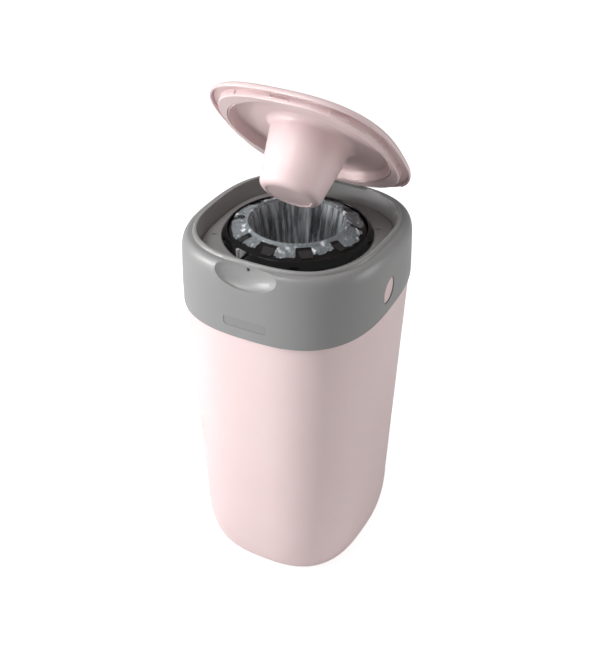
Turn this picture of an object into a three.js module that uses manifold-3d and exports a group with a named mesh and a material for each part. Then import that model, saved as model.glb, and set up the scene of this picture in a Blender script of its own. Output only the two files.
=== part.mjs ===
// Nappy bin: a tapered tub, a hinged head with a turning film cassette, and a lid with a twist plunger.
// Millimetres, +Z up, -Y to the front. The origin is on the floor under the middle of the tub.
// Heights of the head are counted from its step, the ledge that the closed lid meets.
import * as THREE from 'three';
import * as BufferGeometryUtils from 'three/addons/utils/BufferGeometryUtils.js';
import Module from 'manifold-3d';

const wasm = await Module();
wasm.setup();

// Driving sizes
const stepHeight = 421;
const stepHalfWidth = 107;
const stepHalfDepth = 110;
const planExponent = 2.76;
const seamDropFront = 83.4;
const seamDropRear = 59.8;
const seamGap = 0.4;
const seatGap = 0.3;
const overrun = 6;
const cassetteY = -1.5;
const lidOpenDegrees = 47;

// Facet counts
const shellSteps = 44;
const ringSteps = 30;
const lensSteps = 32;
const smallSteps = 14;
const pinSteps = 9;
const bowlSteps = 22;

// Round pieces are stepped in from the narrower way across the step.
const roundHalf = Math.min(stepHalfWidth, stepHalfDepth);

const tub = {
  baseInset: 8.2,
  baseInsetDepth: 1.5,
  seamInset: 0.9,
  wall: 2.6,
  baseThickness: 3,
  filletReach: 20,
  filletHeight: 68,
  grooveInset: 42.8,
  grooveWidth: 9,
  grooveDepth: 1.2,
  lipWall: 2.4,
  lipRise: 6,
  lipDepth: 16,
};

const head = {
  skirtSpread: 9,
  wall: 2.4,
  shoulderDrop: 20,
  shoulderSpread: 8.3,
  ledgeWidth: 2.6,
  rimRise: 3,
  rimBevel: 1.3,
  rimCrownWidth: 1.6,
  innerDraft: 4,
  innerDrop: 19,
  ledgeReach: 6.7,
  ledgeThickness: 2.4,
};

const scoop = {
  halfWidth: 40,
  depth: 11.5,
  halfHeight: 22,
  centreDrop: 2,
  wall: 2.2,
  drainRadius: 1.9,
  drainDrop: 4,
};
const recess = { width: 52, height: 11.5, corner: 3.5, depth: 0.8, drop: 65 };
const button = {
  centreY: -12,
  drop: 47,
  windowHalfLength: 15.8,
  windowHalfWidth: 10.6,
  leanDegrees: 34,
  padGap: 1.2,
  padThickness: 2.2,
  padCrown: 0.5,
  wallGap: 0.9,
  travel: 4,
  stemHalfWidth: 6,
  stemHalfHeight: 4,
  stemLength: 13.3,
  barbHalfWidth: 8.5,
  barbThickness: 1.9,
  armThickness: 2.2,
  armHalfWidth: 5,
  noseThickness: 3,
  noseReach: 3,
};
const guide = {
  halfWidth: 12,
  plateThickness: 2.8,
  footHeight: 24,
  footDrop: 16,
  ribHalfWidth: 4,
  ribHeight: 8,
  slack: 0.3,
  wallGap: 1,
  crownRise: 12,
};
const spring = { thickness: 0.8, halfWidth: 3.5, hookReach: 2.4 };
const shelf = { thickness: 2, halfWidth: 9, reach: 3.6, nosePlay: 0.4, drop: 29 };

const headHinge = {
  clearOfWall: 1.3,
  barrelRadius: 4.2,
  pinRadius: 2,
  innerX: 14,
  splitX: 25.3,
  outerX: 36.5,
  play: 0.3,
};
const lidHinge = {
  beyondStep: 1.5,
  rise: 11,
  barrelRadius: 3.8,
  pinRadius: 1.7,
  innerX: 11,
  splitX: 22.5,
  outerX: 31,
  play: 0.3,
};
const pocket = { halfWidth: 33, floorRise: 0.5 };

const deck = {
  edgeReach: 5.7,
  outerDrop: 17,
  ringDrop: 13.8,
  thickness: 2.2,
  boreUnderFoot: 2.6,
  ratchetPlay: 2.6,
  sleeveWall: 2.2,
  sleeveDrop: 60,
  floorOutset: 4.2,
  floorThickness: 2.3,
};
const screw = { outset: 6.3, headRadius: 2.8, headHeight: 2.4, shankRadius: 1.2 };

const carrier = {
  footInset: 23.9,
  footDrop: 13.3,
  footHeight: 1.2,
  crestInset: 5.5,
  crestDrop: 4.9,
  tubeOutset: 0.8,
  wall: 2.2,
  floorOutset: 1.4,
  floorThickness: 2.4,
  notchCount: 5,
  notchWidth: 9,
  notchDepth: 3.4,
  notchFirstDegrees: 223.5,
};
const ratchet = { teeth: 36, toothHeight: 1.6, topDrop: 18.5, height: 5 };
const pawl = {
  x: -27.5,
  ringPlay: 2.8,
  postRadius: 1.9,
  armThickness: 4.4,
  armWidth: 4,
  armLength: 17,
  toothEntry: 1.55,
  play: 0.4,
};

const cassette = {
  carrierPlay: 0.8,
  width: 22.6,
  wall: 1.9,
  rimDrop: 13,
  neckDrop: 3,
  coneEdgeDrop: 7,
  coneTopOutset: 3.2,
  coneTopDrop: 0.2,
  lipRise: 3.4,
  lipWidth: 2.4,
  capThickness: 2.2,
};
const petal = { count: 10, innerOutset: 7.7, outerInset: 3.9, innerHalf: 8.2, outerHalf: 6, thickness: 1 };
const filmPack = { play: 1.6, topDrop: 17 };
const film = {
  thickness: 0.6,
  lift: 0.35,
  collarOutset: 6.4,
  tabReach: 10.5,
  tabShare: 0.3,
  pleats: 24,
  pleatDepth: 0.9,
  shaftInset: 1.9,
  waistInset: 9.3,
  waistDrop: 56,
  endInset: 12.3,
  endDrop: 74,
};
const grip = {
  flangeOutset: 13.2,
  flangeThickness: 2.2,
  rootOutset: 4.7,
  tipInset: 7.8,
  tipDrop: 77,
  wall: 1.5,
  fingers: 12,
  slotWidth: 3,
};
const cutter = {
  length: 26,
  width: 13,
  height: 11,
  slotWidth: 2.4,
  slotDepth: 8,
  bladeThickness: 0.6,
  outset: 7.6,
};

const lid = {
  planeRise: 0.4,
  edgeInset: 0.8,
  edgeThickness: 1.5,
  bulge: 0.4,
  wall: 2.2,
  crownRise: 11.3,
  boreOutset: 9.7,
  rearReliefInset: 26,
  rearRelief: 1.6,
  notchHalfWidth: 34,
};
const frame = {
  plugInset: 11,
  plugDepth: 5.4,
  plugDraft: 0.3,
  flangeRise: 3,
  flangeEdge: 0.6,
  flangeInset: 3.8,
  topRise: 5.2,
  topOutset: 1,
  boreInset: 14.6,
  seatRise: 3.2,
  seatWidth: 1.6,
  edgeBevel: 0.8,
  tabCount: 10,
  tabWidth: 21,
  tabHeight: 4,
  tabReach: 1,
  tabDrop: 1.2,
  catchHalfWidth: 11,
  catchHeight: 2.6,
  catchDepth: 1.4,
  armLift: 1.2,
};
const dial = {
  rimPlay: 0.7,
  rimWidth: 1.8,
  rimDepth: 5.2,
  flangeReach: 1,
  flangeThickness: 1.5,
  wall: 2.2,
  dishRise: 5.2,
  dishFillet: 4.2,
  stepDraft: 1.2,
  rootFillet: 8.5,
  rootInset: 7.8,
  taper: 9.7,
  tipFillet: 9.5,
  length: 67,
  tipRecess: 0.7,
};
const knob = {
  borePlay: 0.8,
  thickness: 2.4,
  crownRise: 10.2,
  hollowInset: 7,
  hollowDraft: 3,
  hollowDepth: 28,
  barHalfWidth: 8,
  barCrestShare: 0.72,
  hubRadius: 22,
  hubWall: 2.2,
};

// Sizes that follow their neighbours.
head.seamHalf = stepHalfWidth + head.skirtSpread;
head.rimInner = stepHalfWidth - head.ledgeWidth - head.rimBevel - head.rimCrownWidth - head.rimBevel / 2;
head.ledgeInner = head.rimInner - head.innerDraft - head.ledgeReach;
tub.seamHalf = head.seamHalf - tub.seamInset;
tub.baseHalf = stepHalfWidth - tub.baseInset;
tub.baseHalfDepth = stepHalfDepth - tub.baseInsetDepth;
tub.grooveInner = tub.baseHalf - tub.grooveInset;
carrier.footRadius = roundHalf - carrier.footInset;
carrier.crestRadius = carrier.footRadius - carrier.crestInset;
carrier.tubeRadius = carrier.crestRadius + carrier.tubeOutset;
ratchet.tipRadius = carrier.tubeRadius + ratchet.toothHeight;
deck.outerHalf = head.ledgeInner + deck.edgeReach;
deck.boreRadius = carrier.footRadius - deck.boreUnderFoot;
deck.sleeveInner = ratchet.tipRadius + deck.ratchetPlay;
screw.radius = deck.outerHalf + screw.outset;
pawl.toothRadius = ratchet.tipRadius - pawl.toothEntry;
pawl.y = cassetteY - Math.sqrt((carrier.footRadius + pawl.ringPlay) ** 2 - pawl.x ** 2);
cassette.outerRadius = carrier.tubeRadius - carrier.wall - cassette.carrierPlay;
cassette.innerRadius = cassette.outerRadius - cassette.width;
cassette.coneTopRadius = cassette.innerRadius + cassette.coneTopOutset;
carrier.floorInner = cassette.innerRadius + carrier.floorOutset;
deck.floorInner = cassette.innerRadius + deck.floorOutset;
petal.innerRadius = cassette.innerRadius + petal.innerOutset;
petal.outerRadius = cassette.outerRadius - petal.outerInset;
film.collarRadius = cassette.innerRadius + film.collarOutset;
film.shaftRadius = cassette.innerRadius - film.shaftInset;
film.waistRadius = cassette.innerRadius - film.waistInset;
film.endRadius = cassette.innerRadius - film.endInset;
grip.flangeRadius = cassette.innerRadius + grip.flangeOutset;
grip.rootRadius = cassette.innerRadius + grip.rootOutset;
grip.tipRadius = cassette.innerRadius - grip.tipInset;
cutter.nearX = cassette.innerRadius + cutter.outset;
lid.edgeHalf = stepHalfWidth - lid.edgeInset;
lid.bulgeHalf = lid.edgeHalf + lid.bulge;
lid.boreRadius = cassette.innerRadius + lid.boreOutset;
frame.plugHalf = stepHalfWidth - frame.plugInset;
frame.flangeHalf = stepHalfWidth - frame.flangeInset;
frame.boreRadius = roundHalf - frame.boreInset;
dial.rimRadius = frame.boreRadius - dial.rimPlay;
dial.flangeRadius = frame.boreRadius + dial.flangeReach;
dial.rootRadius = cassette.innerRadius - dial.rootInset;
dial.tipRadius = dial.rootRadius - dial.taper;
knob.radius = lid.boreRadius - knob.borePlay;
knob.hollowRadius = dial.rootRadius - knob.hollowInset;

const seamMid = stepHeight - (seamDropFront + seamDropRear) / 2;
const seamHalfDepth = (head.seamHalf * stepHalfDepth) / stepHalfWidth;
const seamSlope = (seamDropFront - seamDropRear) / (2 * seamHalfDepth);
const depthShare = stepHalfDepth / stepHalfWidth;

const pink = { color: 0xefdada, roughness: 0.38, metalness: 0 };
const grey = { color: 0x8f8e8d, roughness: 0.42, metalness: 0 };
const black = { color: 0x18181a, roughness: 0.3, metalness: 0 };
const clearWhite = { color: 0xdfe6e8, roughness: 0.25, metalness: 0 };
const steel = { color: 0xb9bcc0, roughness: 0.25, metalness: 1 };
const rubber = { color: 0x2a2a2c, roughness: 0.8, metalness: 0 };

// A closed geometry as a solid, with its shared points merged and its faces turned out.
function solid(geometry) {
  const bare = geometry.index ? geometry.clone() : geometry;
  bare.deleteAttribute('normal');
  bare.deleteAttribute('uv');
  const merged = BufferGeometryUtils.mergeVertices(bare, 1e-4);
  const places = merged.getAttribute('position').array;
  const corners = merged.index.array;
  const kept = [];
  for (let i = 0; i < corners.length; i += 3) {
    const [a, b, c] = [corners[i], corners[i + 1], corners[i + 2]];
    if (a !== b && b !== c && c !== a) kept.push(a, b, c);
  }
  if (signedVolume(places, kept) < 0) {
    for (let i = 0; i < kept.length; i += 3) [kept[i], kept[i + 1]] = [kept[i + 1], kept[i]];
  }
  return new wasm.Manifold(new wasm.Mesh({
    numProp: 3,
    vertProperties: Float32Array.from(places),
    triVerts: Uint32Array.from(kept),
  }));
}

function signedVolume(places, corners) {
  const [a, b, c] = [new THREE.Vector3(), new THREE.Vector3(), new THREE.Vector3()];
  let sum = 0;
  for (let i = 0; i < corners.length; i += 3) {
    a.fromArray(places, 3 * corners[i]);
    b.fromArray(places, 3 * corners[i + 1]);
    c.fromArray(places, 3 * corners[i + 2]);
    sum += a.dot(b.cross(c));
  }
  return sum;
}

// A named mesh with its own material, from a solid.
function piece(name, body, finish) {
  const mesh = body.getMesh();
  const geometry = new THREE.BufferGeometry();
  geometry.setAttribute('position', new THREE.BufferAttribute(Float32Array.from(mesh.vertProperties), 3));
  geometry.setIndex(new THREE.BufferAttribute(Uint32Array.from(mesh.triVerts), 1));
  geometry.computeVertexNormals();
  const made = new THREE.Mesh(geometry, new THREE.MeshStandardMaterial(finish));
  made.name = name;
  return made;
}

// How far the rounded-square plan reaches at an angle, as a share of its half width at the side.
function planShare(x, y) {
  const reach = Math.hypot(x, y);
  if (reach === 0) return 1;
  const across = Math.abs(x / reach) ** planExponent;
  const along = Math.abs(y / (reach * depthShare)) ** planExponent;
  return (across + along) ** (-1 / planExponent);
}

// Turns a round form into the rounded square of the plan. Inside roundRadius it stays round.
function squared(geometry, roundRadius = 0, squareRadius = 0) {
  const places = geometry.getAttribute('position');
  for (let i = 0; i < places.count; i += 1) {
    const [x, y] = [places.getX(i), places.getY(i)];
    const reach = Math.hypot(x, y);
    const weight = squareRadius === 0 ? 1 : THREE.MathUtils.smoothstep(reach, roundRadius, squareRadius);
    const share = 1 + (planShare(x, y) - 1) * weight;
    places.setXY(i, x * share, y * share);
  }
  return geometry;
}

// A body of revolution about +Z from [radius, height] points. A profile off the axis closes on itself.
function revolve(profile, steps) {
  const points = profile.map(([radius, height]) => new THREE.Vector2(radius, height));
  if (profile[0][0] > 0) points.push(points[0].clone());
  const geometry = new THREE.LatheGeometry(points, steps);
  geometry.rotateX(Math.PI / 2);
  return geometry;
}

function moved(geometry, x, y, z) {
  return geometry.translate(x, y, z);
}

// A box from its lowest to its highest corner.
function block([x0, y0, z0], [x1, y1, z1]) {
  const geometry = new THREE.BoxGeometry(x1 - x0, y1 - y0, z1 - z0);
  return solid(moved(geometry, (x0 + x1) / 2, (y0 + y1) / 2, (z0 + z1) / 2));
}

// A cylinder along one axis, from one end to the other.
function rod(axis, radius, from, to, [u, v], steps = pinSteps) {
  const geometry = new THREE.CylinderGeometry(radius, radius, to - from, steps);
  const middle = (from + to) / 2;
  if (axis === 'x') return solid(moved(geometry.rotateZ(Math.PI / 2), middle, u, v));
  if (axis === 'y') return solid(moved(geometry, u, middle, v));
  return solid(moved(geometry.rotateX(Math.PI / 2), u, v, middle));
}

// A [y, z] outline carried along X.
function slab(outline, fromX, toX) {
  const shape = new THREE.Shape(outline.map(([y, z]) => new THREE.Vector2(y, z)));
  const geometry = new THREE.ExtrudeGeometry(shape, { depth: toX - fromX, bevelEnabled: false });
  const turn = new THREE.Matrix4().makeBasis(
    new THREE.Vector3(0, 1, 0),
    new THREE.Vector3(0, 0, 1),
    new THREE.Vector3(1, 0, 0),
  );
  return solid(moved(geometry.applyMatrix4(turn), fromX, 0, 0));
}

// Points of a round or oval arc in a profile.
function arc(centreRadius, centreHeight, radius, fromDegrees, toDegrees, steps, rise = radius) {
  const points = [];
  for (let i = 0; i <= steps; i += 1) {
    const angle = THREE.MathUtils.degToRad(fromDegrees + ((toDegrees - fromDegrees) * i) / steps);
    points.push([centreRadius + radius * Math.cos(angle), centreHeight + rise * Math.sin(angle)]);
  }
  return points;
}

function lifted(profile, height) {
  return profile.map(([radius, z]) => [radius, z + height]);
}

// Everything above the slanted seam between tub and head, raised by lift.
function aboveSeam(lift) {
  const span = 4 * head.seamHalf;
  const geometry = new THREE.BoxGeometry(span, span, span);
  moved(geometry, 0, 0, span / 2);
  geometry.rotateX(Math.atan(seamSlope));
  return solid(moved(geometry, 0, 0, seamMid + lift));
}

function seamAt(y) {
  return seamMid + seamSlope * y;
}

const headPivot = { y: seamHalfDepth + headHinge.clearOfWall, z: seamAt(seamHalfDepth) };
const lidPivot = { y: stepHalfDepth + lidHinge.beyondStep, z: stepHeight + lidHinge.rise };
const sides = [['left', -1], ['right', 1]];

// Barrels of a hinge on both sides of the middle, from one X to another, with a bore for the pin.
function barrels(pivot, hinge, fromX, toX, bracket) {
  let all = null;
  for (const [, side] of sides) {
    const [near, far] = [Math.min(side * fromX, side * toX), Math.max(side * fromX, side * toX)];
    const barrel = rod('x', hinge.barrelRadius, near, far, [pivot.y, pivot.z], smallSteps);
    const one = barrel.add(slab(bracket, near, far));
    all = all ? all.add(one) : one;
  }
  return all;
}

function pinBore(pivot, hinge) {
  const reach = hinge.outerX + overrun;
  return rod('x', hinge.pinRadius + seatGap, -reach, reach, [pivot.y, pivot.z]);
}

function hingePin(pivot, hinge) {
  const half = hinge.outerX - hinge.play;
  return rod('x', hinge.pinRadius, -half, half, [pivot.y, pivot.z]);
}

function twinBlocks(fromX, toX, fromY, toY, fromZ, toZ) {
  return block([fromX, fromY, fromZ], [toX, toY, toZ]).add(block([-toX, fromY, fromZ], [-fromX, toY, toZ]));
}

// The tub grows from the plan of the seam to a deeper one at its foot.
function deepened(geometry) {
  const places = geometry.getAttribute('position');
  const footShare = tub.baseHalfDepth / (tub.baseHalf * depthShare);
  for (let i = 0; i < places.count; i += 1) {
    const climbed = (places.getZ(i) - tub.filletHeight) / (headPivot.z - tub.filletHeight);
    const share = THREE.MathUtils.lerp(footShare, 1, THREE.MathUtils.clamp(climbed, 0, 1));
    places.setY(i, places.getY(i) * share);
  }
  return geometry;
}

function tubShell() {
  const top = headPivot.z + overrun;
  const filletCentre = tub.baseHalf - tub.filletReach;
  const innerReach = tub.filletReach - tub.wall;
  const grooveOuter = tub.grooveInner + tub.grooveWidth;
  const profile = [
    [0, 0],
    [tub.grooveInner, 0],
    [tub.grooveInner, tub.grooveDepth],
    [grooveOuter, tub.grooveDepth],
    [grooveOuter, 0],
    ...arc(filletCentre, tub.filletHeight, tub.filletReach, -90, 0, 6, tub.filletHeight),
    [tub.seamHalf, top],
    [tub.seamHalf - tub.wall, top],
    ...arc(filletCentre, tub.filletHeight, innerReach, 0, -90, 3, tub.filletHeight - tub.baseThickness),
    [0, tub.baseThickness],
  ];
  const lipOuter = tub.seamHalf - tub.wall;
  const lip = [
    [lipOuter - tub.lipWall, seamMid - seamSlope * seamHalfDepth - tub.lipDepth],
    [lipOuter, seamMid - seamSlope * seamHalfDepth - tub.lipDepth],
    [lipOuter, top + overrun],
    [lipOuter - tub.lipWall, top + overrun],
  ];
  const wall = solid(deepened(squared(revolve(profile, shellSteps)))).subtract(aboveSeam(-seamGap / 2));
  const collar = solid(deepened(squared(revolve(lip, shellSteps)))).subtract(aboveSeam(tub.lipRise));
  const reach = headHinge.barrelRadius;
  const bracket = [
    [headPivot.y - 2 * reach, headPivot.z - 4 * reach],
    [headPivot.y + reach, headPivot.z],
    [headPivot.y - reach, headPivot.z],
    [headPivot.y - 1.5 * reach, headPivot.z - reach],
  ];
  const relief = twinBlocks(
    headHinge.innerX - headHinge.play,
    headHinge.splitX,
    headPivot.y - reach - overrun / 5,
    headPivot.y + 2 * reach,
    headPivot.z - reach - 2 * headHinge.play,
    headPivot.z + 3 * reach,
  );
  return wall
    .add(collar)
    .subtract(relief)
    .add(barrels(headPivot, headHinge, headHinge.splitX + headHinge.play, headHinge.outerX, bracket))
    .subtract(pinBore(headPivot, headHinge));
}

// Outer contour of the head from its skirt up over the shoulder to the step, heights from the step.
function headOutline() {
  const shoulderShares = [[1, 1], [0.916, 0.5], [0.747, 0.25], [0.434, 0.08], [0, 0]];
  return [
    [head.seamHalf, -seamDropFront - overrun],
    [head.seamHalf, -2.5 * head.shoulderDrop],
    ...shoulderShares.map(([spread, drop]) => [
      stepHalfWidth + head.shoulderSpread * spread,
      -head.shoulderDrop * drop,
    ]),
  ];
}

function rimOutline() {
  const foot = stepHalfWidth - head.ledgeWidth;
  const crown = foot - 2 * head.rimBevel;
  return [
    [foot, 0],
    [foot - head.rimBevel / 2, head.rimRise - head.rimBevel],
    [crown + head.rimBevel / 2, head.rimRise],
    [crown + head.rimBevel / 2 - head.rimCrownWidth, head.rimRise],
    [crown - head.rimCrownWidth, head.rimRise - head.rimBevel / 2],
  ];
}

function headShell() {
  const rim = rimOutline();
  const innerTop = rim[rim.length - 1];
  const innerFoot = innerTop[0] - head.innerDraft;
  const ledgeBottom = -head.innerDrop - head.ledgeThickness;
  const innerWall = head.wall;
  const profile = [
    ...headOutline(),
    ...rim,
    [innerFoot, -head.innerDrop],
    [head.ledgeInner, -head.innerDrop],
    [head.ledgeInner, ledgeBottom],
    [innerFoot + innerWall, ledgeBottom],
    [innerTop[0] + innerWall, -head.wall],
    [stepHalfWidth - head.wall / 2, -head.wall],
    [stepHalfWidth + head.wall, -head.shoulderDrop / 4],
    [stepHalfWidth + head.shoulderSpread - head.wall, -head.shoulderDrop],
    [head.seamHalf - head.wall, -2.5 * head.shoulderDrop],
    [head.seamHalf - head.wall, -seamDropFront - overrun],
  ];
  const ring = innerTop[0] + innerWall;
  const full = [
    ...headOutline().slice(1),
    ...rim.slice(0, 3),
    [ring, head.rimRise],
    [ring, -2.5 * head.shoulderDrop],
  ];
  const round = carrier.footRadius;
  const shell = solid(squared(revolve(lifted(profile, stepHeight), shellSteps), round, head.ledgeInner));
  const inside = solid(squared(revolve(lifted(full, stepHeight), shellSteps), round, head.ledgeInner));
  const skirt = shell.subtract(belowSeam());
  return withHeadFittings(skirt.add(scoopBowl(scoop.wall).intersect(inside)).subtract(scoopBowl(0)));
}

function belowSeam() {
  const span = 4 * head.seamHalf;
  const geometry = new THREE.BoxGeometry(span, span, span);
  moved(geometry, 0, 0, -span / 2);
  geometry.rotateX(Math.atan(seamSlope));
  return solid(moved(geometry, 0, 0, seamMid + seamGap / 2));
}

// The finger scoop in the front shoulder, grown by the wall of its bowl.
function scoopBowl(grown) {
  const geometry = new THREE.SphereGeometry(1, bowlSteps, smallSteps);
  geometry.scale(scoop.halfWidth + grown, scoop.depth + grown, scoop.halfHeight + grown);
  const frontY = -(head.seamHalf * depthShare);
  return solid(moved(geometry, 0, frontY, stepHeight - scoop.centreDrop));
}

function withHeadFittings(shell) {
  let body = shell;
  const frontY = -(head.seamHalf * depthShare);
  const drainEnd = frontY + scoop.depth + 2 * scoop.wall;
  const drain = rod('y', scoop.drainRadius, frontY, drainEnd, [0, stepHeight - scoop.drainDrop]);
  body = body.subtract(drain).subtract(frontRecess());
  for (const [, side] of sides) {
    const ends = [side * (head.seamHalf - 2 * head.wall), side * (head.seamHalf + overrun)];
    body = body.subtract(leaningLens(0, Math.min(...ends), Math.max(...ends)));
  }
  const rearRim = block(
    [-pocket.halfWidth, stepHalfDepth - 4 * head.ledgeWidth, stepHeight + pocket.floorRise],
    [pocket.halfWidth, stepHalfDepth + overrun, stepHeight + overrun],
  );
  const tubRelief = twinBlocks(
    headHinge.splitX,
    headHinge.outerX + headHinge.play,
    headPivot.y - headHinge.barrelRadius - overrun / 5,
    headPivot.y + overrun,
    headPivot.z - overrun,
    headPivot.z + headHinge.barrelRadius + 2 * headHinge.play,
  );
  body = body.subtract(rearRim).subtract(tubRelief);
  body = body.add(lidBarrels()).add(tubBarrels()).add(latchShelves());
  body = body.subtract(pinBore(headPivot, headHinge)).subtract(pinBore(lidPivot, lidHinge));
  return body.subtract(screwHoles());
}

// The form of a side window along X: two arcs that meet in a tip above and a tip below.
function leaningLens(shrunk, fromX, toX) {
  const [along, across] = [button.windowHalfLength, button.windowHalfWidth];
  const radius = (along ** 2 + across ** 2) / (2 * across);
  const offset = radius - across;
  const near = rod('x', radius - shrunk, fromX, toX, [-offset, 0], lensSteps);
  const far = rod('x', radius - shrunk, fromX, toX, [offset, 0], lensSteps);
  const lens = near.intersect(far).rotate([-button.leanDegrees, 0, 0]);
  return lens.translate([0, button.centreY, stepHeight - button.drop]);
}

// The bare sunk panel on the front, its floor parallel to the curved wall.
function frontRecess() {
  const [w, h, r] = [recess.width / 2, recess.height / 2, recess.corner];
  const shape = new THREE.Shape();
  shape.absarc(w - r, h - r, r, 0, Math.PI / 2);
  shape.absarc(r - w, h - r, r, Math.PI / 2, Math.PI);
  shape.absarc(r - w, r - h, r, Math.PI, 1.5 * Math.PI);
  shape.absarc(w - r, r - h, r, 1.5 * Math.PI, 2 * Math.PI);
  const frontY = -(head.seamHalf * depthShare);
  const reach = 4 * overrun;
  const geometry = new THREE.ExtrudeGeometry(shape, { depth: reach, bevelEnabled: false, curveSegments: 3 });
  geometry.rotateX(Math.PI / 2);
  const prism = solid(moved(geometry, 0, frontY + reach / 2, stepHeight - recess.drop));
  const floor = head.seamHalf - recess.depth;
  const band = [
    [floor, -recess.drop - recess.height],
    [head.seamHalf + overrun, -recess.drop - recess.height],
    [head.seamHalf + overrun, -recess.drop + recess.height],
    [floor, -recess.drop + recess.height],
  ];
  return solid(squared(revolve(lifted(band, stepHeight), shellSteps))).intersect(prism);
}

function lidBarrels() {
  const reach = lidHinge.barrelRadius;
  const bracket = [
    [lidPivot.y - 1.5 * reach, stepHeight - head.wall / 2],
    [lidPivot.y + 0.6 * reach, stepHeight - 1.5 * head.wall],
    [lidPivot.y + reach, lidPivot.z],
    [lidPivot.y - reach, lidPivot.z],
  ];
  return barrels(lidPivot, lidHinge, lidHinge.innerX, lidHinge.splitX, bracket);
}

function tubBarrels() {
  const reach = headHinge.barrelRadius;
  const bracket = [
    [headPivot.y + reach, headPivot.z],
    [headPivot.y - headHinge.clearOfWall - head.wall / 3, headPivot.z + 3.5 * reach],
    [headPivot.y - headHinge.clearOfWall - head.wall / 2, headPivot.z + seamGap],
    [headPivot.y - reach / 3, headPivot.z],
  ];
  return barrels(headPivot, headHinge, headHinge.innerX, headHinge.splitX - headHinge.play, bracket);
}

// A shelf inside each side of the skirt, which the nose of the release button holds down.
function latchShelves() {
  const outer = head.seamHalf - head.wall / 2;
  const top = stepHeight - shelf.drop;
  const from = button.centreY - shelf.halfWidth;
  const to = button.centreY + shelf.halfWidth;
  return twinBlocks(head.seamHalf - head.wall - shelf.reach, outer, from, to, top - shelf.thickness, top);
}

function cornerPlaces(radius) {
  return [45, 135, 225, 315].map((degrees) => {
    const angle = THREE.MathUtils.degToRad(degrees);
    return [radius * Math.cos(angle), radius * Math.sin(angle)];
  });
}

function screwHoles() {
  let all = null;
  for (const place of cornerPlaces(screw.radius)) {
    const low = stepHeight - head.innerDrop - head.ledgeThickness - overrun;
    const one = rod('z', screw.shankRadius + seatGap, low, stepHeight - head.innerDrop + overrun / 2, place);
    all = all ? all.add(one) : one;
  }
  return all;
}

function deckScrew(place) {
  const headTop = stepHeight - head.innerDrop - head.ledgeThickness - seatGap;
  const shankTop = stepHeight - head.innerDrop - seatGap;
  const shank = rod('z', screw.shankRadius, headTop - screw.headHeight / 2, shankTop, place);
  return rod('z', screw.headRadius, headTop - screw.headHeight, headTop, place).add(shank);
}

// The tray inside the head: a squared deck, a round sleeve and the floor that the carrier turns on.
function headDeck() {
  const sleeveOuter = deck.sleeveInner + deck.sleeveWall;
  const profile = [
    [deck.outerHalf, -deck.outerDrop],
    [sleeveOuter, -deck.ringDrop],
    [deck.boreRadius, -deck.ringDrop],
    [deck.boreRadius, -deck.ringDrop - deck.thickness],
    [deck.sleeveInner, -deck.ringDrop - deck.thickness],
    [deck.sleeveInner, -deck.sleeveDrop + deck.floorThickness],
    [deck.floorInner, -deck.sleeveDrop + deck.floorThickness],
    [deck.floorInner, -deck.sleeveDrop],
    [sleeveOuter, -deck.sleeveDrop],
    [sleeveOuter, -deck.ringDrop - 1.3 * deck.thickness],
    [deck.outerHalf, -head.innerDrop + seatGap],
  ];
  const geometry = squared(revolve(lifted(profile, stepHeight), shellSteps), sleeveOuter, head.ledgeInner);
  const armTop = stepHeight - ratchet.topDrop + pawl.play;
  const { outward, away } = pawlPlace();
  const wide = pawl.armLength + overrun;
  const opening = new THREE.BoxGeometry(wide, 4 * pawl.armWidth, pawl.armThickness + 2 * pawl.play);
  moved(opening, wide / 2 - 2 * pawl.postRadius, away - 2 * pawl.armWidth, 0);
  opening.rotateZ(outward - Math.PI / 2);
  moved(opening, 0, cassetteY, armTop - pawl.armThickness / 2 - pawl.play);
  const post = rod('z', pawl.postRadius + pawl.play, armTop - overrun, stepHeight, [pawl.x, pawl.y]);
  return solid(geometry).subtract(solid(opening)).subtract(post);
}

// A saw-tooth ring with one steep and one sloping flank to each tooth.
function ratchetRing() {
  const shape = new THREE.Shape();
  for (let i = 0; i < ratchet.teeth; i += 1) {
    const start = (2 * Math.PI * i) / ratchet.teeth;
    const low = carrier.tubeRadius - carrier.wall / 4;
    if (i === 0) shape.moveTo(low * Math.cos(start), low * Math.sin(start));
    else shape.lineTo(low * Math.cos(start), low * Math.sin(start));
    shape.lineTo(ratchet.tipRadius * Math.cos(start), ratchet.tipRadius * Math.sin(start));
  }
  shape.closePath();
  const hole = new THREE.Path();
  hole.absarc(0, 0, carrier.tubeRadius - carrier.wall / 2, 0, 2 * Math.PI, true);
  shape.holes.push(hole);
  const top = stepHeight - ratchet.topDrop;
  const geometry = new THREE.ExtrudeGeometry(shape, {
    depth: ratchet.height,
    bevelEnabled: false,
    curveSegments: ringSteps,
  });
  return solid(moved(geometry, 0, cassetteY, top - ratchet.height));
}

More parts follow.
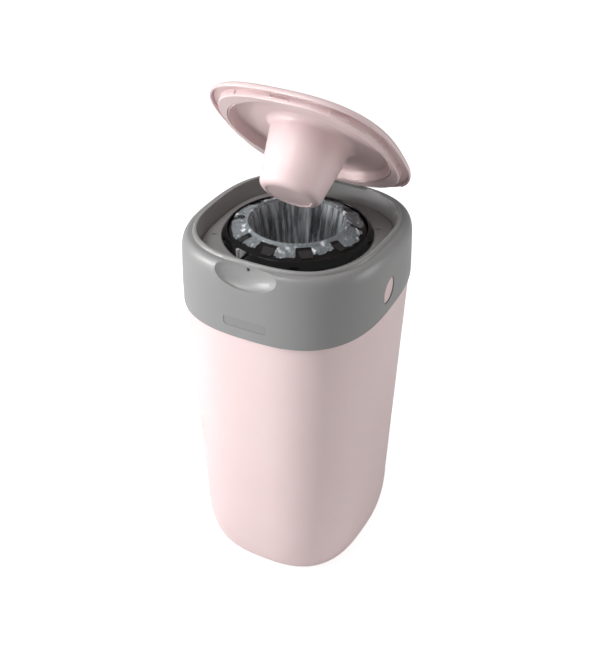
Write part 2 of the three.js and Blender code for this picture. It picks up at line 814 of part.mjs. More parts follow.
function cassetteCarrier() {
  const inner = carrier.tubeRadius - carrier.wall;
  const floorTop = -deck.sleeveDrop + deck.floorThickness + seatGap + carrier.floorThickness;
  const profile = [
    [carrier.footRadius, -carrier.footDrop],
    [carrier.footRadius, -carrier.footDrop + carrier.footHeight],
    [carrier.crestRadius + carrier.wall / 6, -carrier.crestDrop - carrier.wall / 4],
    [carrier.crestRadius, -carrier.crestDrop],
    [inner + carrier.wall / 3, -carrier.crestDrop],
    [inner, -carrier.crestDrop - carrier.wall / 2],
    [inner, floorTop],
    [carrier.floorInner, floorTop],
    [carrier.floorInner, floorTop - carrier.floorThickness],
    [carrier.tubeRadius, floorTop - carrier.floorThickness],
    [carrier.tubeRadius, -carrier.footDrop],
  ];
  const ring = solid(moved(revolve(lifted(profile, stepHeight), ringSteps), 0, cassetteY, 0));
  let body = ring.add(ratchetRing());
  const notchHeight = carrier.footDrop - carrier.crestDrop;
  const notchX = carrier.footRadius - carrier.notchDepth / 4;
  for (let i = 0; i < carrier.notchCount; i += 1) {
    const angle = THREE.MathUtils.degToRad(carrier.notchFirstDegrees + (360 * i) / carrier.notchCount);
    const notch = new THREE.BoxGeometry(carrier.notchDepth, carrier.notchWidth, notchHeight);
    moved(notch, notchX, 0, stepHeight - carrier.crestDrop - carrier.wall);
    notch.rotateZ(angle);
    body = body.subtract(solid(moved(notch, 0, cassetteY, 0)));
  }
  return body;
}

function cassetteFloor() {
  return -deck.sleeveDrop + deck.floorThickness + 2 * seatGap + carrier.floorThickness;
}

function cassetteBody() {
  const low = cassetteFloor();
  const profile = [
    [cassette.outerRadius, low],
    [cassette.outerRadius, -cassette.rimDrop],
    [cassette.outerRadius - cassette.wall, -cassette.rimDrop],
    [cassette.outerRadius - cassette.wall, low + cassette.wall],
    [cassette.innerRadius + cassette.wall, low + cassette.wall],
    [cassette.innerRadius + cassette.wall, -cassette.neckDrop],
    [cassette.innerRadius, -cassette.neckDrop],
    [cassette.innerRadius, low],
  ];
  return solid(moved(revolve(lifted(profile, stepHeight), ringSteps), 0, cassetteY, 0));
}

// Fall of the cap's cone for each millimetre outwards.
function coneSlope() {
  return (cassette.coneEdgeDrop - cassette.coneTopDrop) / (cassette.outerRadius - cassette.coneTopRadius);
}

function cassetteCap() {
  const lipInner = cassette.innerRadius;
  const outer = cassette.outerRadius + seatGap;
  const under = cassette.capThickness;
  const profile = [
    [outer, -cassette.rimDrop + seatGap],
    [outer, -cassette.coneEdgeDrop - cassette.wall / 2],
    [cassette.outerRadius - cassette.wall / 2, -cassette.coneEdgeDrop],
    [cassette.coneTopRadius, -cassette.coneTopDrop],
    [lipInner + cassette.lipWidth, cassette.lipRise * 0.65],
    [lipInner + 0.6 * cassette.lipWidth, cassette.lipRise],
    [lipInner + 0.25 * cassette.lipWidth, cassette.lipRise],
    [lipInner, cassette.lipRise * 0.7],
    [lipInner, -cassette.neckDrop + seatGap],
    [lipInner + cassette.wall, -cassette.neckDrop + seatGap],
    [cassette.outerRadius - cassette.wall, -cassette.coneEdgeDrop - under],
    [cassette.outerRadius - cassette.wall, -cassette.rimDrop + seatGap],
  ];
  let body = solid(moved(revolve(lifted(profile, stepHeight), ringSteps), 0, cassetteY, 0));
  for (let i = 0; i < petal.count; i += 1) {
    const angle = (2 * Math.PI * (i + 0.5)) / petal.count;
    body = body.add(petalPlate(angle, coneSlope()));
  }
  return body;
}

// One trapezoid plate lying on the cone of the cassette cap.
function petalPlate(angle, slope) {
  const shape = new THREE.Shape([
    new THREE.Vector2(petal.innerRadius, -petal.innerHalf),
    new THREE.Vector2(petal.outerRadius, -petal.outerHalf),
    new THREE.Vector2(petal.outerRadius, petal.outerHalf),
    new THREE.Vector2(petal.innerRadius, petal.innerHalf),
  ]);
  const depth = petal.thickness + cassette.capThickness / 2;
  const geometry = new THREE.ExtrudeGeometry(shape, { depth, bevelEnabled: false });
  moved(geometry, -cassette.coneTopRadius, 0, -cassette.capThickness / 2);
  geometry.rotateY(Math.atan(slope));
  moved(geometry, cassette.coneTopRadius, 0, stepHeight - cassette.coneTopDrop);
  geometry.rotateZ(angle);
  return solid(moved(geometry, 0, cassetteY, 0));
}

function filmStore() {
  const low = cassetteFloor() + cassette.wall + seatGap;
  const inner = cassette.innerRadius + cassette.wall + filmPack.play;
  const outer = cassette.outerRadius - cassette.wall - filmPack.play;
  const profile = [[inner, low], [outer, low], [outer, -filmPack.topDrop], [inner, -filmPack.topDrop]];
  return solid(moved(revolve(lifted(profile, stepHeight), ringSteps), 0, cassetteY, 0));
}

// The drawn film: tabs on the cap, a collar over the lip and a pleated shaft down the bore.
function filmLiner() {
  const slope = coneSlope();
  const lift = film.lift;
  const top = cassette.lipRise + lift;
  const crest = cassette.innerRadius + 0.5 * cassette.lipWidth;
  const conePoint = (radius) => -cassette.coneTopDrop - (radius - cassette.coneTopRadius) * slope + lift;
  const shaft = film.shaftRadius;
  const under = [
    [film.collarRadius, conePoint(film.collarRadius) + petal.thickness + 2.4 * lift],
    [cassette.coneTopRadius + lift, conePoint(cassette.coneTopRadius + lift) + lift],
    [cassette.innerRadius + cassette.lipWidth + lift, cassette.lipRise * 0.72 + lift],
    [crest + lift, top],
    [crest - cassette.lipWidth / 3, top],
    [cassette.innerRadius - lift, cassette.lipRise * 0.7],
    [shaft + film.thickness, -cassette.neckDrop],
    [(shaft + film.waistRadius) / 2 + 2 * film.thickness, -film.waistDrop / 2],
    [film.waistRadius + film.thickness, -film.waistDrop],
    [film.endRadius + film.thickness, -film.endDrop],
  ];
  const over = under.map(([radius, height], i) => {
    const inward = i > 4 ? film.thickness : 0;
    return [radius - inward, i > 4 ? height : height + film.thickness];
  });
  const geometry = revolve(lifted([...under, ...over.reverse()], stepHeight), 2 * film.pleats);
  const places = geometry.getAttribute('position');
  const lipLow = stepHeight - cassette.neckDrop / 2;
  for (let i = 0; i < places.count; i += 1) {
    const [x, y, z] = [places.getX(i), places.getY(i), places.getZ(i)];
    const reach = Math.hypot(x, y);
    const angle = Math.atan2(y, x);
    let grown = 0;
    if (reach > film.collarRadius - lift) grown = film.tabReach * tabWave(angle);
    if (z < lipLow) grown = (-film.pleatDepth * (1 + Math.cos(angle * film.pleats))) / 2;
    const share = (reach + grown) / reach;
    const fall = reach > film.collarRadius - lift ? grown * slope : 0;
    places.setXYZ(i, x * share, y * share, z - fall);
  }
  return solid(moved(geometry, 0, cassetteY, 0));
}

// How far a flap reaches at an angle: most in the middle of each gap between petals, and nothing beside it.
function tabWave(angle) {
  const turn = (angle * petal.count) / (2 * Math.PI);
  const off = Math.abs(turn - Math.round(turn));
  const uneven = 1 - film.tabShare * Math.sin(2 * angle) ** 2;
  return off < film.tabShare ? uneven : 0;
}

function gripRing() {
  const low = stepHeight - deck.sleeveDrop - seatGap;
  const profile = [
    [grip.flangeRadius, 0],
    [grip.rootRadius, 0],
    [grip.tipRadius, deck.sleeveDrop - grip.tipDrop],
    [grip.tipRadius + grip.wall, deck.sleeveDrop - grip.tipDrop - grip.wall / 2],
    [grip.rootRadius + grip.wall, -grip.flangeThickness],
    [grip.flangeRadius, -grip.flangeThickness],
  ];
  let body = solid(moved(revolve(lifted(profile, low), ringSteps), 0, cassetteY, 0));
  const slotReach = grip.rootRadius - grip.tipRadius + overrun;
  for (let i = 0; i < grip.fingers; i += 1) {
    const slot = new THREE.BoxGeometry(slotReach, grip.slotWidth, 2 * grip.tipDrop);
    moved(slot, (grip.rootRadius + grip.tipRadius - overrun) / 2 - grip.wall, 0, low);
    slot.rotateZ((2 * Math.PI * i) / grip.fingers);
    body = body.subtract(solid(moved(slot, 0, cassetteY, 0)));
  }
  return body;
}

function cutterGuard() {
  const top = stepHeight - deck.sleeveDrop - seatGap;
  const near = cutter.nearX + overrun;
  const half = cutter.width / 2;
  const outline = [
    [-half, top],
    [half, top],
    [half, top - cutter.height / 2],
    [half / 2, top - cutter.height],
    [-half / 2, top - cutter.height],
    [-half, top - cutter.height / 2],
  ];
  const body = slab(outline, near, near + cutter.length);
  const slot = block(
    [near - overrun, -cutter.slotWidth / 2, top - cutter.height - overrun],
    [near + cutter.length * 0.7, cutter.slotWidth / 2, top - cutter.height + cutter.slotDepth],
  );
  return body.subtract(slot);
}

function cutterBlade() {
  const top = stepHeight - deck.sleeveDrop - seatGap;
  const near = cutter.nearX + overrun;
  const half = cutter.bladeThickness / 2;
  const roof = top - cutter.height + cutter.slotDepth - seatGap;
  const far = near + cutter.length * 0.7 - seatGap;
  const shape = new THREE.Shape([
    new THREE.Vector2(far - cutter.length / 3, roof),
    new THREE.Vector2(far, roof),
    new THREE.Vector2(far, roof - 0.8 * cutter.slotDepth),
  ]);
  const geometry = new THREE.ExtrudeGeometry(shape, { depth: cutter.bladeThickness, bevelEnabled: false });
  geometry.rotateX(Math.PI / 2);
  return solid(moved(geometry, 0, half, 0));
}

// The post turns in the deck. Its arm runs back under the deck to the ratchet of the carrier.
function clickPawl() {
  const armTop = stepHeight - ratchet.topDrop;
  const { outward, away } = pawlPlace();
  const toothY = Math.sqrt(pawl.toothRadius ** 2 - pawl.armLength ** 2) - away;
  const shape = new THREE.Shape([
    new THREE.Vector2(-pawl.armWidth / 2, pawl.armWidth / 2),
    new THREE.Vector2(-pawl.armWidth / 2, -pawl.armWidth / 2),
    new THREE.Vector2(pawl.armLength - pawl.armWidth, -pawl.armWidth / 2),
    new THREE.Vector2(pawl.armLength, toothY),
    new THREE.Vector2(pawl.armLength, pawl.armWidth / 2 - pawl.armWidth / 3),
  ]);
  const geometry = new THREE.ExtrudeGeometry(shape, { depth: pawl.armThickness, bevelEnabled: false });
  geometry.rotateZ(outward - Math.PI / 2);
  const arm = solid(moved(geometry, pawl.x, pawl.y, armTop - pawl.armThickness));
  return arm.add(rod('z', pawl.postRadius, armTop - pawl.armThickness, stepHeight, [pawl.x, pawl.y]));
}

// Direction and distance of the post from the axis of the cassette.
function pawlPlace() {
  const fromAxis = pawl.y - cassetteY;
  return { outward: Math.atan2(fromAxis, pawl.x), away: Math.hypot(pawl.x, fromAxis) };
}

function cutterScrew() {
  const low = stepHeight - deck.sleeveDrop - 2 * seatGap - cutter.height - screw.headHeight;
  const x = cutter.nearX + overrun + cutter.length * 0.85;
  return rod('z', screw.headRadius, low, low + screw.headHeight, [x, 0]);
}

// Side buttons: a lens-shaped pad behind the window, a stem through the guide and a nose over the shelf.
function buttonPlaces() {
  const wallInner = head.seamHalf - head.wall;
  const face = wallInner - button.wallGap;
  const back = face - button.padThickness;
  return { face, back, z: stepHeight - button.drop, stemEnd: back - button.stemLength };
}

function releaseButton(side) {
  const at = buttonPlaces();
  const y = button.centreY;
  const reach = button.windowHalfLength;
  const dome = [
    [0, 0],
    [reach, 0],
    [reach, button.padThickness - button.padCrown],
    [reach / 2, button.padThickness - button.padCrown / 4],
    [0, button.padThickness],
  ];
  const geometry = revolve(dome, lensSteps);
  geometry.rotateY(Math.PI / 2);
  const lens = leaningLens(button.padGap, at.back - overrun, at.back + overrun);
  const pad = solid(moved(geometry, at.back, y, at.z)).intersect(lens);
  const stem = block(
    [at.stemEnd, y - button.stemHalfWidth, at.z - button.stemHalfHeight],
    [at.back + button.padThickness / 2, y + button.stemHalfWidth, at.z + button.stemHalfHeight],
  );
  const plateInner = at.back - button.travel - guide.slack - guide.plateThickness;
  const barb = block(
    [plateInner - guide.slack - button.barbThickness, y - button.barbHalfWidth, at.z - button.stemHalfHeight],
    [plateInner - guide.slack, y + button.barbHalfWidth, at.z + button.stemHalfHeight],
  );
  const shelfTop = stepHeight - shelf.drop;
  const armOuter = head.seamHalf - head.wall - shelf.reach - shelf.nosePlay;
  const arm = block(
    [armOuter - button.armThickness, y - button.armHalfWidth, at.z],
    [armOuter, y + button.armHalfWidth, shelfTop + shelf.nosePlay + button.noseThickness],
  );
  const nose = block(
    [armOuter - button.armThickness, y - button.armHalfWidth, shelfTop + shelf.nosePlay],
    [armOuter + button.noseReach, y + button.armHalfWidth, shelfTop + shelf.nosePlay + button.noseThickness],
  );
  return mirrored(pad.add(stem).add(barb).add(arm).add(nose), side);
}

function mirrored(body, side) {
  return side > 0 ? body : body.mirror([1, 0, 0]);
}

function guideFace() {
  return tub.seamHalf - tub.wall - tub.lipWall - guide.wallGap;
}

function buttonGuide(side) {
  const at = buttonPlaces();
  const y = button.centreY;
  const outer = at.back - button.travel - guide.slack;
  const inner = outer - guide.plateThickness;
  const seam = seamAt(y);
  const low = seam - guide.footDrop;
  const foot = block(
    [inner, y - guide.halfWidth, low],
    [guideFace(), y + guide.halfWidth, low + guide.footHeight],
  );
  const upright = block(
    [inner, y - guide.halfWidth, low],
    [outer, y + guide.halfWidth, at.z + guide.crownRise],
  );
  const rib = block(
    [at.stemEnd, y - guide.ribHalfWidth, low],
    [inner + guide.plateThickness / 2, y + guide.ribHalfWidth, low + guide.ribHeight],
  );
  const slotHalf = button.stemHalfWidth + guide.slack;
  const slot = block(
    [inner - overrun, y - slotHalf, at.z - button.stemHalfHeight - guide.slack],
    [guideFace() + overrun, y + slotHalf, at.z + guide.crownRise + overrun],
  );
  const hollowHalf = guide.halfWidth - guide.plateThickness;
  const hollow = block(
    [inner + guide.plateThickness, y - hollowHalf, low + guide.plateThickness],
    [guideFace() - guide.plateThickness, y + hollowHalf, seam + overrun + guide.footHeight],
  );
  return mirrored(foot.subtract(hollow).add(upright).add(rib).subtract(slot), side);
}

// A leaf clamped on the rib of the guide that pushes the stem outwards.
function buttonSpring(side) {
  const at = buttonPlaces();
  const y = button.centreY;
  const seam = seamAt(y);
  const outer = at.stemEnd - seatGap;
  const inner = outer - spring.thickness;
  const low = seam - guide.footDrop;
  const crown = at.z + button.stemHalfHeight;
  const outline = [
    [outer, low],
    [outer, crown],
    [outer - spring.hookReach, crown + spring.hookReach],
    [inner - spring.hookReach, crown + spring.hookReach],
    [inner, crown],
    [inner, low],
  ];
  const shape = new THREE.Shape(outline.map(([x, z]) => new THREE.Vector2(x, z)));
  const geometry = new THREE.ExtrudeGeometry(shape, { depth: 2 * spring.halfWidth, bevelEnabled: false });
  geometry.rotateX(Math.PI / 2);
  return mirrored(solid(moved(geometry, 0, y + spring.halfWidth, 0)), side);
}

// The lid, drawn closed. Heights are from its edge plane.
// Reach and rise of the outer skin, then how far the inner skin lies inward and down, in walls.
const coverShares = [
  [1, 0.14, 1, 0],
  [0.996, 0.336, 1, 0.18],
  [0.981, 0.53, 0.86, 0.64],
  [0.945, 0.69, 0.5, 0.91],
  [0.86, 0.83, 0.23, 0.95],
  [0.709, 0.955, 0.1, 0.97],
];

function lidCover() {
  const outer = coverShares.map(([reach, rise]) => [lid.bulgeHalf * reach, lid.crownRise * rise]);
  const inner = coverShares.map(([reach, rise, inward, down]) => [
    lid.bulgeHalf * reach - lid.wall * inward,
    lid.crownRise * rise - lid.wall * down,
  ]);
  const profile = [
    [lid.edgeHalf - lid.edgeThickness, 0],
    [lid.edgeHalf, 0],
    ...outer,
    [0, lid.crownRise],
    [0, lid.crownRise - lid.wall],
    ...inner.reverse(),
  ];
  const plane = stepHeight + lid.planeRise;
  const whole = solid(squared(revolve(lifted(profile, plane), shellSteps), lid.boreRadius, frame.boreRadius));
  const boreTop = plane + 2 * lid.crownRise;
  const dome = whole.subtract(rod('z', lid.boreRadius, plane, boreTop, [0, cassetteY], ringSteps));
  const wide = 2 * lid.bulgeHalf;
  const relief = block(
    [-wide, stepHalfDepth - lid.rearReliefInset, plane - overrun],
    [wide, wide, plane + lid.rearRelief],
  );
  const notch = block(
    [-lid.notchHalfWidth, frame.flangeHalf * depthShare - frame.edgeBevel, plane - overrun],
    [lid.notchHalfWidth, wide, plane + 2 * lid.crownRise],
  );
  return dome.subtract(relief).subtract(notch);
}

// The under frame of the lid: a plug that enters the rim, a seat for the dial, snap tabs and hinge arms.
function lidFrame() {
  const top = frame.topRise;
  const profile = [
    [0, -frame.plugDepth],
    [frame.plugHalf - frame.edgeBevel, -frame.plugDepth],
    [frame.plugHalf, -frame.plugDepth + frame.edgeBevel],
    [frame.plugHalf + frame.plugDraft, frame.flangeRise],
    [frame.flangeHalf, frame.flangeRise],
    [frame.flangeHalf, frame.flangeRise + frame.flangeEdge],
    [frame.plugHalf + frame.topOutset, top],
    [0, top],
  ];
  const bore = [
    [0, -frame.plugDepth - overrun],
    [frame.boreRadius, -frame.plugDepth - overrun],
    [frame.boreRadius, frame.seatRise],
    [frame.boreRadius + frame.seatWidth, frame.seatRise],
    [frame.boreRadius + 2 * frame.seatWidth, top + overrun],
    [0, top + overrun],
  ];
  const plane = stepHeight + lid.planeRise;
  const body = solid(squared(revolve(lifted(profile, plane), shellSteps)))
    .subtract(cornerPockets(plane, top))
    .subtract(solid(moved(revolve(lifted(bore, plane), ringSteps), 0, cassetteY, 0)))
    .add(snapTabs(plane));
  const front = frame.plugHalf * depthShare;
  const catchTop = plane + frame.catchHeight / 2;
  const catchHollow = block(
    [-frame.catchHalfWidth, -front - overrun, catchTop - frame.catchHeight],
    [frame.catchHalfWidth, -front + frame.catchDepth, catchTop],
  );
  const reach = lidHinge.barrelRadius;
  const rear = front - frame.plugDraft;
  const arm = [
    [rear, plane + frame.armLift],
    [lidPivot.y - reach, plane + frame.armLift],
    [lidPivot.y + reach, lidPivot.z],
    [lidPivot.y - reach, lidPivot.z],
    [frame.flangeHalf * depthShare + 2 * seatGap, plane + frame.flangeRise],
    [rear, plane + frame.flangeRise],
  ];
  return body
    .subtract(catchHollow)
    .add(barrels(lidPivot, lidHinge, lidHinge.splitX + lidHinge.play, lidHinge.outerX, arm))
    .subtract(pinBore(lidPivot, lidHinge));
}

// Low rectangular tabs around the side of the plug.
function snapTabs(plane) {
  let all = null;
  for (let i = 0; i < frame.tabCount; i += 1) {
    const angle = (2 * Math.PI * (i + 0.5)) / frame.tabCount;
    const reach = frame.plugHalf * planShare(Math.cos(angle), Math.sin(angle)) - frame.tabReach;
    const tab = new THREE.BoxGeometry(4 * frame.tabReach, frame.tabWidth, frame.tabHeight);
    tab.rotateZ(planLean(angle));
    moved(tab, reach * Math.cos(angle), reach * Math.sin(angle), plane - frame.tabDrop);
    const one = solid(tab);
    all = all ? all.add(one) : one;
  }
  return all;
}

// Hollows that leave a thin wall between the round seat and the squared corners of the plug.
function cornerPockets(plane, top) {
  const outer = frame.plugHalf - lid.wall;
  const inner = frame.boreRadius + 2 * frame.seatWidth + lid.wall;
  const low = plane - frame.plugDepth + lid.wall;
  const outline = [[0, low], [outer, low], [outer, plane + top + overrun], [0, plane + top + overrun]];
  const core = rod('z', inner, low - overrun, plane + top + 2 * overrun, [0, cassetteY], ringSteps);
  return solid(squared(revolve(outline, shellSteps))).subtract(core);
}

// Direction that the plan's outline faces at an angle.
function planLean(angle) {
  const small = 0.02;
  const before = planShare(Math.cos(angle - small), Math.sin(angle - small));
  const after = planShare(Math.cos(angle + small), Math.sin(angle + small));
  const dx = after * Math.cos(angle + small) - before * Math.cos(angle - small);
  const dy = after * Math.sin(angle + small) - before * Math.sin(angle - small);
  return Math.atan2(dy, dx) - Math.PI / 2;
}

// The underside of the dial: a rim, a sunk dish and the plunger cup, in one wall.
function plungerDial() {
  const step = dial.rimRadius - dial.rimWidth;
  const dishOuter = step - dial.stepDraft;
  const tipStart = dial.tipRadius - dial.tipFillet;
  const low = -dial.length;
  const rootStart = dial.rootRadius + dial.rootFillet;
  const faces = [
    [dial.rimRadius, -dial.rimDepth + dial.wall / 3],
    [dial.rimRadius - dial.wall / 3, -dial.rimDepth],
    [step + dial.wall / 3, -dial.rimDepth],
    [step, -dial.rimDepth + dial.wall / 3],
    ...arc(dishOuter - dial.dishFillet, dial.dishRise - dial.dishFillet, dial.dishFillet, 0, 90, 3),
    ...arc(rootStart, dial.dishRise - dial.rootFillet, dial.rootFillet, 90, 170, 4),
    ...arc(tipStart, low + dial.tipFillet, dial.tipFillet, -10, -90, 4),
    [tipStart - dial.wall / 2, low + dial.tipRecess],
    [0, low + dial.tipRecess],
  ];
  const backs = [
    [0, low + dial.tipRecess + dial.wall],
    ...arc(tipStart, low + dial.tipFillet, dial.tipFillet - dial.wall, -90, -10, 2),
    ...arc(rootStart, dial.dishRise - dial.rootFillet, dial.rootFillet + dial.wall, 170, 90, 2),
    [dishOuter - dial.dishFillet - dial.wall, dial.dishRise + dial.wall],
    [dial.flangeRadius, frame.seatRise + seatGap + dial.flangeThickness],
    [dial.flangeRadius, frame.seatRise + seatGap],
    [dial.rimRadius, frame.seatRise + seatGap],
  ];
  const plane = stepHeight + lid.planeRise;
  return solid(moved(revolve(lifted([...faces, ...backs].reverse(), plane), ringSteps), 0, cassetteY, 0));
}

// The top of the dial: a disc with a hollow sunk into the plunger, a grip bar across it and a hub below.
function dialKnob() {
  const top = knob.crownRise;
  const under = top - knob.thickness;
  const floor = top - knob.hollowDepth;
  const floorRadius = knob.hollowRadius - knob.hollowDraft;
  const profile = [
    [0, floor - knob.thickness],
    [floorRadius + knob.thickness / 2, floor - knob.thickness],
    [knob.hollowRadius + knob.thickness, under],
    [knob.radius, under],
    [knob.radius, top - knob.thickness / 2],
    [knob.radius - knob.thickness / 2, top],
    [knob.hollowRadius + knob.thickness / 2, top],
    [knob.hollowRadius, top - knob.thickness / 2],
    [floorRadius, floor],
    [0, floor],
  ];
  const hubLow = dial.tipRecess + dial.wall + seatGap - dial.length;
  const hub = [
    [knob.hubRadius - knob.hubWall, hubLow],
    [knob.hubRadius, hubLow],
    [knob.hubRadius, floor - knob.thickness / 2],
    [knob.hubRadius - knob.hubWall, floor - knob.thickness / 2],
  ];
  const filled = [
    [0, floor - knob.thickness / 2],
    [floorRadius, floor - knob.thickness / 2],
    [knob.hollowRadius + knob.thickness / 2, top],
    [0, top],
  ];
  const plane = stepHeight + lid.planeRise;
  const turned = (outline, steps) => solid(moved(revolve(lifted(outline, plane), steps), 0, cassetteY, 0));
  const reach = knob.hollowRadius + knob.thickness;
  const crest = knob.barHalfWidth * knob.barCrestShare;
  const bar = slab(
    [
      [cassetteY - knob.barHalfWidth, plane + floor - knob.thickness],
      [cassetteY + knob.barHalfWidth, plane + floor - knob.thickness],
      [cassetteY + crest, plane + top],
      [cassetteY - crest, plane + top],
    ],
    -reach,
    reach,
  );
  const disc = turned(profile, ringSteps).add(turned(hub, smallSteps));
  return disc.add(bar.intersect(turned(filled, ringSteps)));
}

const bin = new THREE.Group();

bin.add(piece('tub_shell', tubShell(), pink));
for (const [name, side] of sides) {
  bin.add(piece(`${name}_button_guide`, buttonGuide(side), grey));
  bin.add(piece(`${name}_button_spring`, buttonSpring(side), steel));
  bin.add(piece(`${name}_release_button`, releaseButton(side), pink));
}
bin.add(piece('head_hinge_pin', hingePin(headPivot, headHinge), steel));

bin.add(piece('head_shell', headShell(), grey));
bin.add(piece('head_deck', headDeck(), grey));
cornerPlaces(screw.radius).forEach((place, i) => {
  bin.add(piece(`deck_screw_${i + 1}`, deckScrew(place), steel));
});
bin.add(piece('click_pawl', clickPawl(), grey));
bin.add(piece('film_grip_ring', gripRing(), rubber));
bin.add(piece('cutter_guard', cutterGuard(), black));
bin.add(piece('cutter_blade', cutterBlade(), steel));
bin.add(piece('cutter_screw', cutterScrew(), steel));
bin.add(piece('lid_hinge_pin', hingePin(lidPivot, lidHinge), steel));

bin.add(piece('cassette_carrier', cassetteCarrier(), black));
bin.add(piece('cassette_body', cassetteBody(), black));
bin.add(piece('cassette_cap', cassetteCap(), black));
bin.add(piece('film_pack', filmStore(), clearWhite));
bin.add(piece('film_liner', filmLiner(), clearWhite));

// The lid group turns about its hinge, so its pieces hang from the pivot.
const openLid = new THREE.Group();
openLid.position.set(0, lidPivot.y, lidPivot.z);
openLid.rotation.x = -THREE.MathUtils.degToRad(lidOpenDegrees);
const lidPieces = [
  piece('lid_cover', lidCover(), pink),
  piece('lid_frame', lidFrame(), pink),
  piece('plunger_dial', plungerDial(), pink),
  piece('dial_knob', dialKnob(), pink),
];
for (const mesh of lidPieces) {
  mesh.position.set(0, -lidPivot.y, -lidPivot.z);
  openLid.add(mesh);
}
bin.add(openLid);

export default bin;
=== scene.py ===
"""Nappy bin: smooth mouldings, finishes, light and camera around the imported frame.

Sizes are in millimetres, as on a maker's drawing, and each mesh is scaled to metres when it is finished.
Heights on the head and the lid are counted from the step that the closed lid meets.
"""
import logging
import math
from dataclasses import dataclass
from enum import Enum

import bmesh
import bpy
from mathutils import Matrix, Vector, noise


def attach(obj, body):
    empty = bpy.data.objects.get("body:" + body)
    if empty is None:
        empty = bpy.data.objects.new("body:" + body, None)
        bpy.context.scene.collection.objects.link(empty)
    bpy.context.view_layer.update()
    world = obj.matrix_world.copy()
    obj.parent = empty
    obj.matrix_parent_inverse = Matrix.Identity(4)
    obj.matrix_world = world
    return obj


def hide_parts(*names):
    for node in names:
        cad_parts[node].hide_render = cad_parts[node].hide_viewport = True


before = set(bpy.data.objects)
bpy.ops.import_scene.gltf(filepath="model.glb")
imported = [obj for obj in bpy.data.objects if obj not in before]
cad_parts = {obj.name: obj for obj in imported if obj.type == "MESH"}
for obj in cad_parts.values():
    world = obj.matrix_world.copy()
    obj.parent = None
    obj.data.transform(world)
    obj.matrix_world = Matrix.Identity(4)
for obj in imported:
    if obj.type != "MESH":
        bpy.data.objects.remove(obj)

log = logging.getLogger("nappy_bin")

MM = 0.001
OVERRUN = 6.0
MERGE = 1e-4
TURN_STEPS = 128
SQUARE_STEPS = 160
FINE_STEPS = 96
BALL_RINGS = 64
FLAT_ANGLE = 0.01
NO_LENGTH = 1e-6
# Nine pleats to the radian round a throat, and sixteen waves to the metre down it.
PLEAT_SCALE = (9.0, 16.0, 1.0)
Point = tuple[float, float]
Triple = tuple[float, float, float]
Corners = list[bmesh.types.BMVert]


class Meeting(Enum):
    """How one solid meets another."""

    JOIN = "UNION"
    CUT = "DIFFERENCE"
    KEEP = "INTERSECT"


class Axis(Enum):
    """The three axes."""

    X = "X"
    Y = "Y"
    Z = "Z"


class Rounded(Enum):
    """What a small round is put on."""

    EDGES = "EDGES"
    CORNERS = "VERTICES"


class Side(Enum):
    """The two sides of the bin, as the sign of X."""

    LEFT = -1
    RIGHT = 1

    def span(self, near: float, far: float) -> list[float]:
        """Returns two distances from the middle as the lower and the higher X."""
        return sorted((self.value * near, self.value * far))


class Vein(Enum):
    """What shows in a film: the creases of a flap or the pleats of a throat."""

    CREASE = "Crease"
    STREAK = "Streak"


def held(value: float) -> float:
    """Returns a value held between nothing and all."""
    return min(max(value, 0.0), 1.0)


def ripple(x: float, y: float, z: float) -> float:
    """Returns smooth noise between minus one and one."""
    return noise.noise(Vector((x, y, z)))


def arc(centre: Point, across: float, up: float, start: float, end: float, steps: int) -> list[Point]:
    """Points of a round or oval arc in a profile.

    Args:
        centre: Radius and height of the middle of the arc.
        across: Half width of the oval.
        up: Half height of the oval.
        start: First angle in degrees, from the outward direction.
        end: Last angle in degrees.
        steps: Number of chords.

    Returns:
        The points as radius and height.
    """
    angles = [math.radians(start + (end - start) * i / steps) for i in range(steps + 1)]
    return [(centre[0] + across * math.cos(a), centre[1] + up * math.sin(a)) for a in angles]


def flowing(points: list[Point], per_span: int = 4) -> list[Point]:
    """Runs a smooth curve through chosen points.

    Args:
        points: The points that the curve passes.
        per_span: Chords between neighbours.

    Returns:
        The points of the curve, ends included.
    """
    chosen = [points[0], *points, points[-1]]
    made: list[Point] = []
    for i in range(1, len(chosen) - 2):
        a, b, c, d = (Vector(p) for p in chosen[i - 1 : i + 3])
        run, bend, twist = c - a, 2 * a - 5 * b + 4 * c - d, 3 * b - a - 3 * c + d
        for k in range(per_span):
            t = k / per_span
            p = 0.5 * (2 * b + run * t + bend * t**2 + twist * t**3)
            made.append((p.x, p.y))
    made.append(points[-1])
    return made


def placed(name: str, data: bpy.types.ID) -> bpy.types.Object:
    """Puts a new object into the scene.

    Args:
        name: Its name.
        data: Its mesh, lamp or camera.

    Returns:
        The object.
    """
    made = bpy.data.objects.new(name, data)
    bpy.context.scene.collection.objects.link(made)
    return made


def placed_mesh(name: str, bm: bmesh.types.BMesh) -> bpy.types.Object:
    """Puts a bmesh, which is used up, into the scene.

    Args:
        name: Name of the object and its mesh.
        bm: The shape.

    Returns:
        The object.
    """
    mesh = bpy.data.meshes.new(name)
    bm.to_mesh(mesh)
    bm.free()
    return placed(name, mesh)


